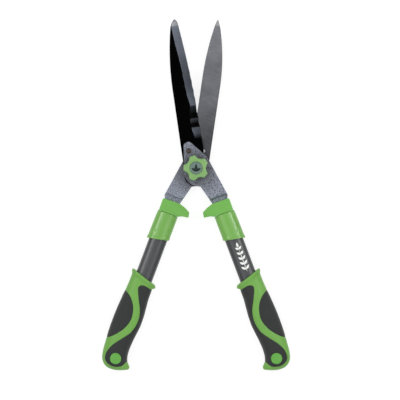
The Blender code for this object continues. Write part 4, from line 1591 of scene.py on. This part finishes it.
def sprig_mesh():
    stem_start, stem_end, pairs = Vector((0.0176, -0.1770)), Vector((0.0176, -0.1365)), 5
    film = 0.00006
    parts = [leaf_strip(stem_start, stem_end, 0.0011, film, tube_top)]
    parts.append(leaf_strip(stem_end, stem_end + Vector((0, 0.0080)), 0.0036, film, tube_top))
    for i in range(pairs):
        foot = stem_start.lerp(stem_end, (i + 0.55) / pairs)
        size = 0.0086 - 0.0006 * i
        for lean in (radians(48), radians(-48)):
            reach = Vector((sin(lean), cos(lean))) * size
            parts.append(leaf_strip(foot + reach * 0.08, foot + reach, 0.0036, film, tube_top))
    return joined(parts)


def white_print():
    finish = Finish("white_print", Specular_IOR_Level=0.4)
    drift = finish.noise(0.008, detail=4)
    rubbed = finish.ramp(finish.noise(0.0015, detail=5, roughness=0.7), 0.72, 0.85)
    ink = finish.mix(drift, colour(232, 234, 230), colour(250, 250, 248))
    finish.set("Base Color", finish.mix(rubbed, ink, colour(150, 152, 150)))
    finish.set("Roughness", 0.42 + 0.15 * drift)
    return finish.material


right_body, right_matrix = HANDLES["right"]
piece("right_tube_sprig", sprig_mesh(), right_matrix, right_body, [white_print()])

# %% [markdown]
# ## Pieces that need only a finish
#
# The washers, bush, nut and the rivets inside the tubes already have the right shape, so they keep it
# and get a better surface. Replacing the material in their slot is all it takes.

# %% Finishes of the pieces that stay
PLATED = ("bolt_washer", "thrust_washer", "knob_nut", "left_tang_rivet", "right_tang_rivet")
KEPT = {node: ZINC for node in PLATED} | {"spring_washer": SPRING_BLUE, "pivot_bush": BRONZE}
for node, finish in KEPT.items():
    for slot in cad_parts[node].material_slots:
        slot.material = finish
print("refinished:", ", ".join(KEPT))

# %% [markdown]
# ## Floor, light and camera
#
# The shears lie on a pale light table and are seen from straight above. All the lights hang well away
# from straight overhead, so flat black steel mirrors nothing bright and stays black. Each handle has two
# soft boxes, placed square to its length: the lower one draws the thin streak on the outer side of the
# sleeve, and the wider, higher one fills the inner side. Two more boxes light the two ends. The table
# glows a little, as the white sheets used for product pictures do, so that shadows stay faint.

# %% The floor
TABLE_GLOW = 0.82
FLOOR_HALF = 3.0
FLOOR_DROP = 0.0003


def floor_paper():
    finish = Finish("floor_paper", Specular_IOR_Level=0.1, Emission_Strength=TABLE_GLOW)
    finish.set("Emission Color", (1, 1, 1, 1))
    tooth = finish.noise(0.004, detail=4)
    paper = finish.mix(tooth, (0.26, 0.26, 0.26, 1), (0.29, 0.29, 0.29, 1))
    return finish.done(paper, 0.9, tooth, 0.00005, 0.2)


floor_mesh = bpy.data.meshes.new("floor")
signs = ((-1, -1), (1, -1), (1, 1), (-1, 1))
floor_mesh.from_pydata([(x * FLOOR_HALF, y * FLOOR_HALF, 0) for x, y in signs], [], [(0, 1, 2, 3)])
floor_mesh.materials.append(floor_paper())
floor = put("floor", floor_mesh)
floor.location.z = -FLOOR_DROP
print("floor is", 2 * FLOOR_HALF, "m wide")

# %% Lights
AIM = Vector((0, -0.05, PIVOT_HEIGHT))
WORLD_GLOW = 0.19
OUTER_BOX = 48, 1.3, 0.5, 0.5, 4.8  # elevation, distance, width, height, power
INNER_BOX = 65, 1.6, 1.2, 0.8, 4.1
END_BOX = 40, 1.8, 1.2, 0.6, 4.0
BOXES = {  # azimuth, then the kind of box
    "outer_right": (20.6, *OUTER_BOX),
    "inner_right": (-25, *INNER_BOX),
    "outer_left": (159.4, *OUTER_BOX),
    "inner_left": (205, *INNER_BOX),
    "box_top": (90, *END_BOX),
    "box_bottom": (270, *END_BOX),
}


def soft_box(name, azimuth, elevation, distance, width, height, power):
    """An area light aimed at the shears."""
    light = bpy.data.lights.new(name, "AREA")
    light.shape = "RECTANGLE"
    light.size = width
    light.size_y = height
    light.energy = power
    made = put(name, light)
    a, e = radians(azimuth), radians(elevation)
    away = Vector((cos(a) * cos(e), sin(a) * cos(e), sin(e)))
    made.location = AIM + away * distance
    made.rotation_euler = (-away).to_track_quat("-Z", "Y").to_euler()


for name, numbers in BOXES.items():
    soft_box(name, *numbers)

world = bpy.data.worlds.new("studio")
world.use_nodes = True
background = world.node_tree.nodes["Background"].inputs
background["Color"].default_value = (1, 1, 1, 1)
background["Strength"].default_value = WORLD_GLOW
bpy.context.scene.world = world
bpy.context.scene.view_settings.view_transform = "Standard"
print("lights placed:", ", ".join(BOXES))

# %% [markdown]
# The camera is a long lens far above, so the shears are seen without perspective. Its width of view is
# the only number that matters, and the lens follows from it.

# %% Camera
VIEW_WIDTH = 0.616
VIEW_MIDDLE = Vector((0.0060, -0.0490))
CAMERA_DISTANCE = 3.0
SENSOR = 36.0

camera_data = bpy.data.cameras.new("camera")
camera_data.sensor_width = SENSOR
camera_data.lens = SENSOR * CAMERA_DISTANCE / VIEW_WIDTH
camera = put("camera", camera_data)
camera.location = (VIEW_MIDDLE.x, VIEW_MIDDLE.y, PIVOT_HEIGHT + CAMERA_DISTANCE)
bpy.context.scene.camera = camera
print("lens:", round(camera_data.lens), "mm")
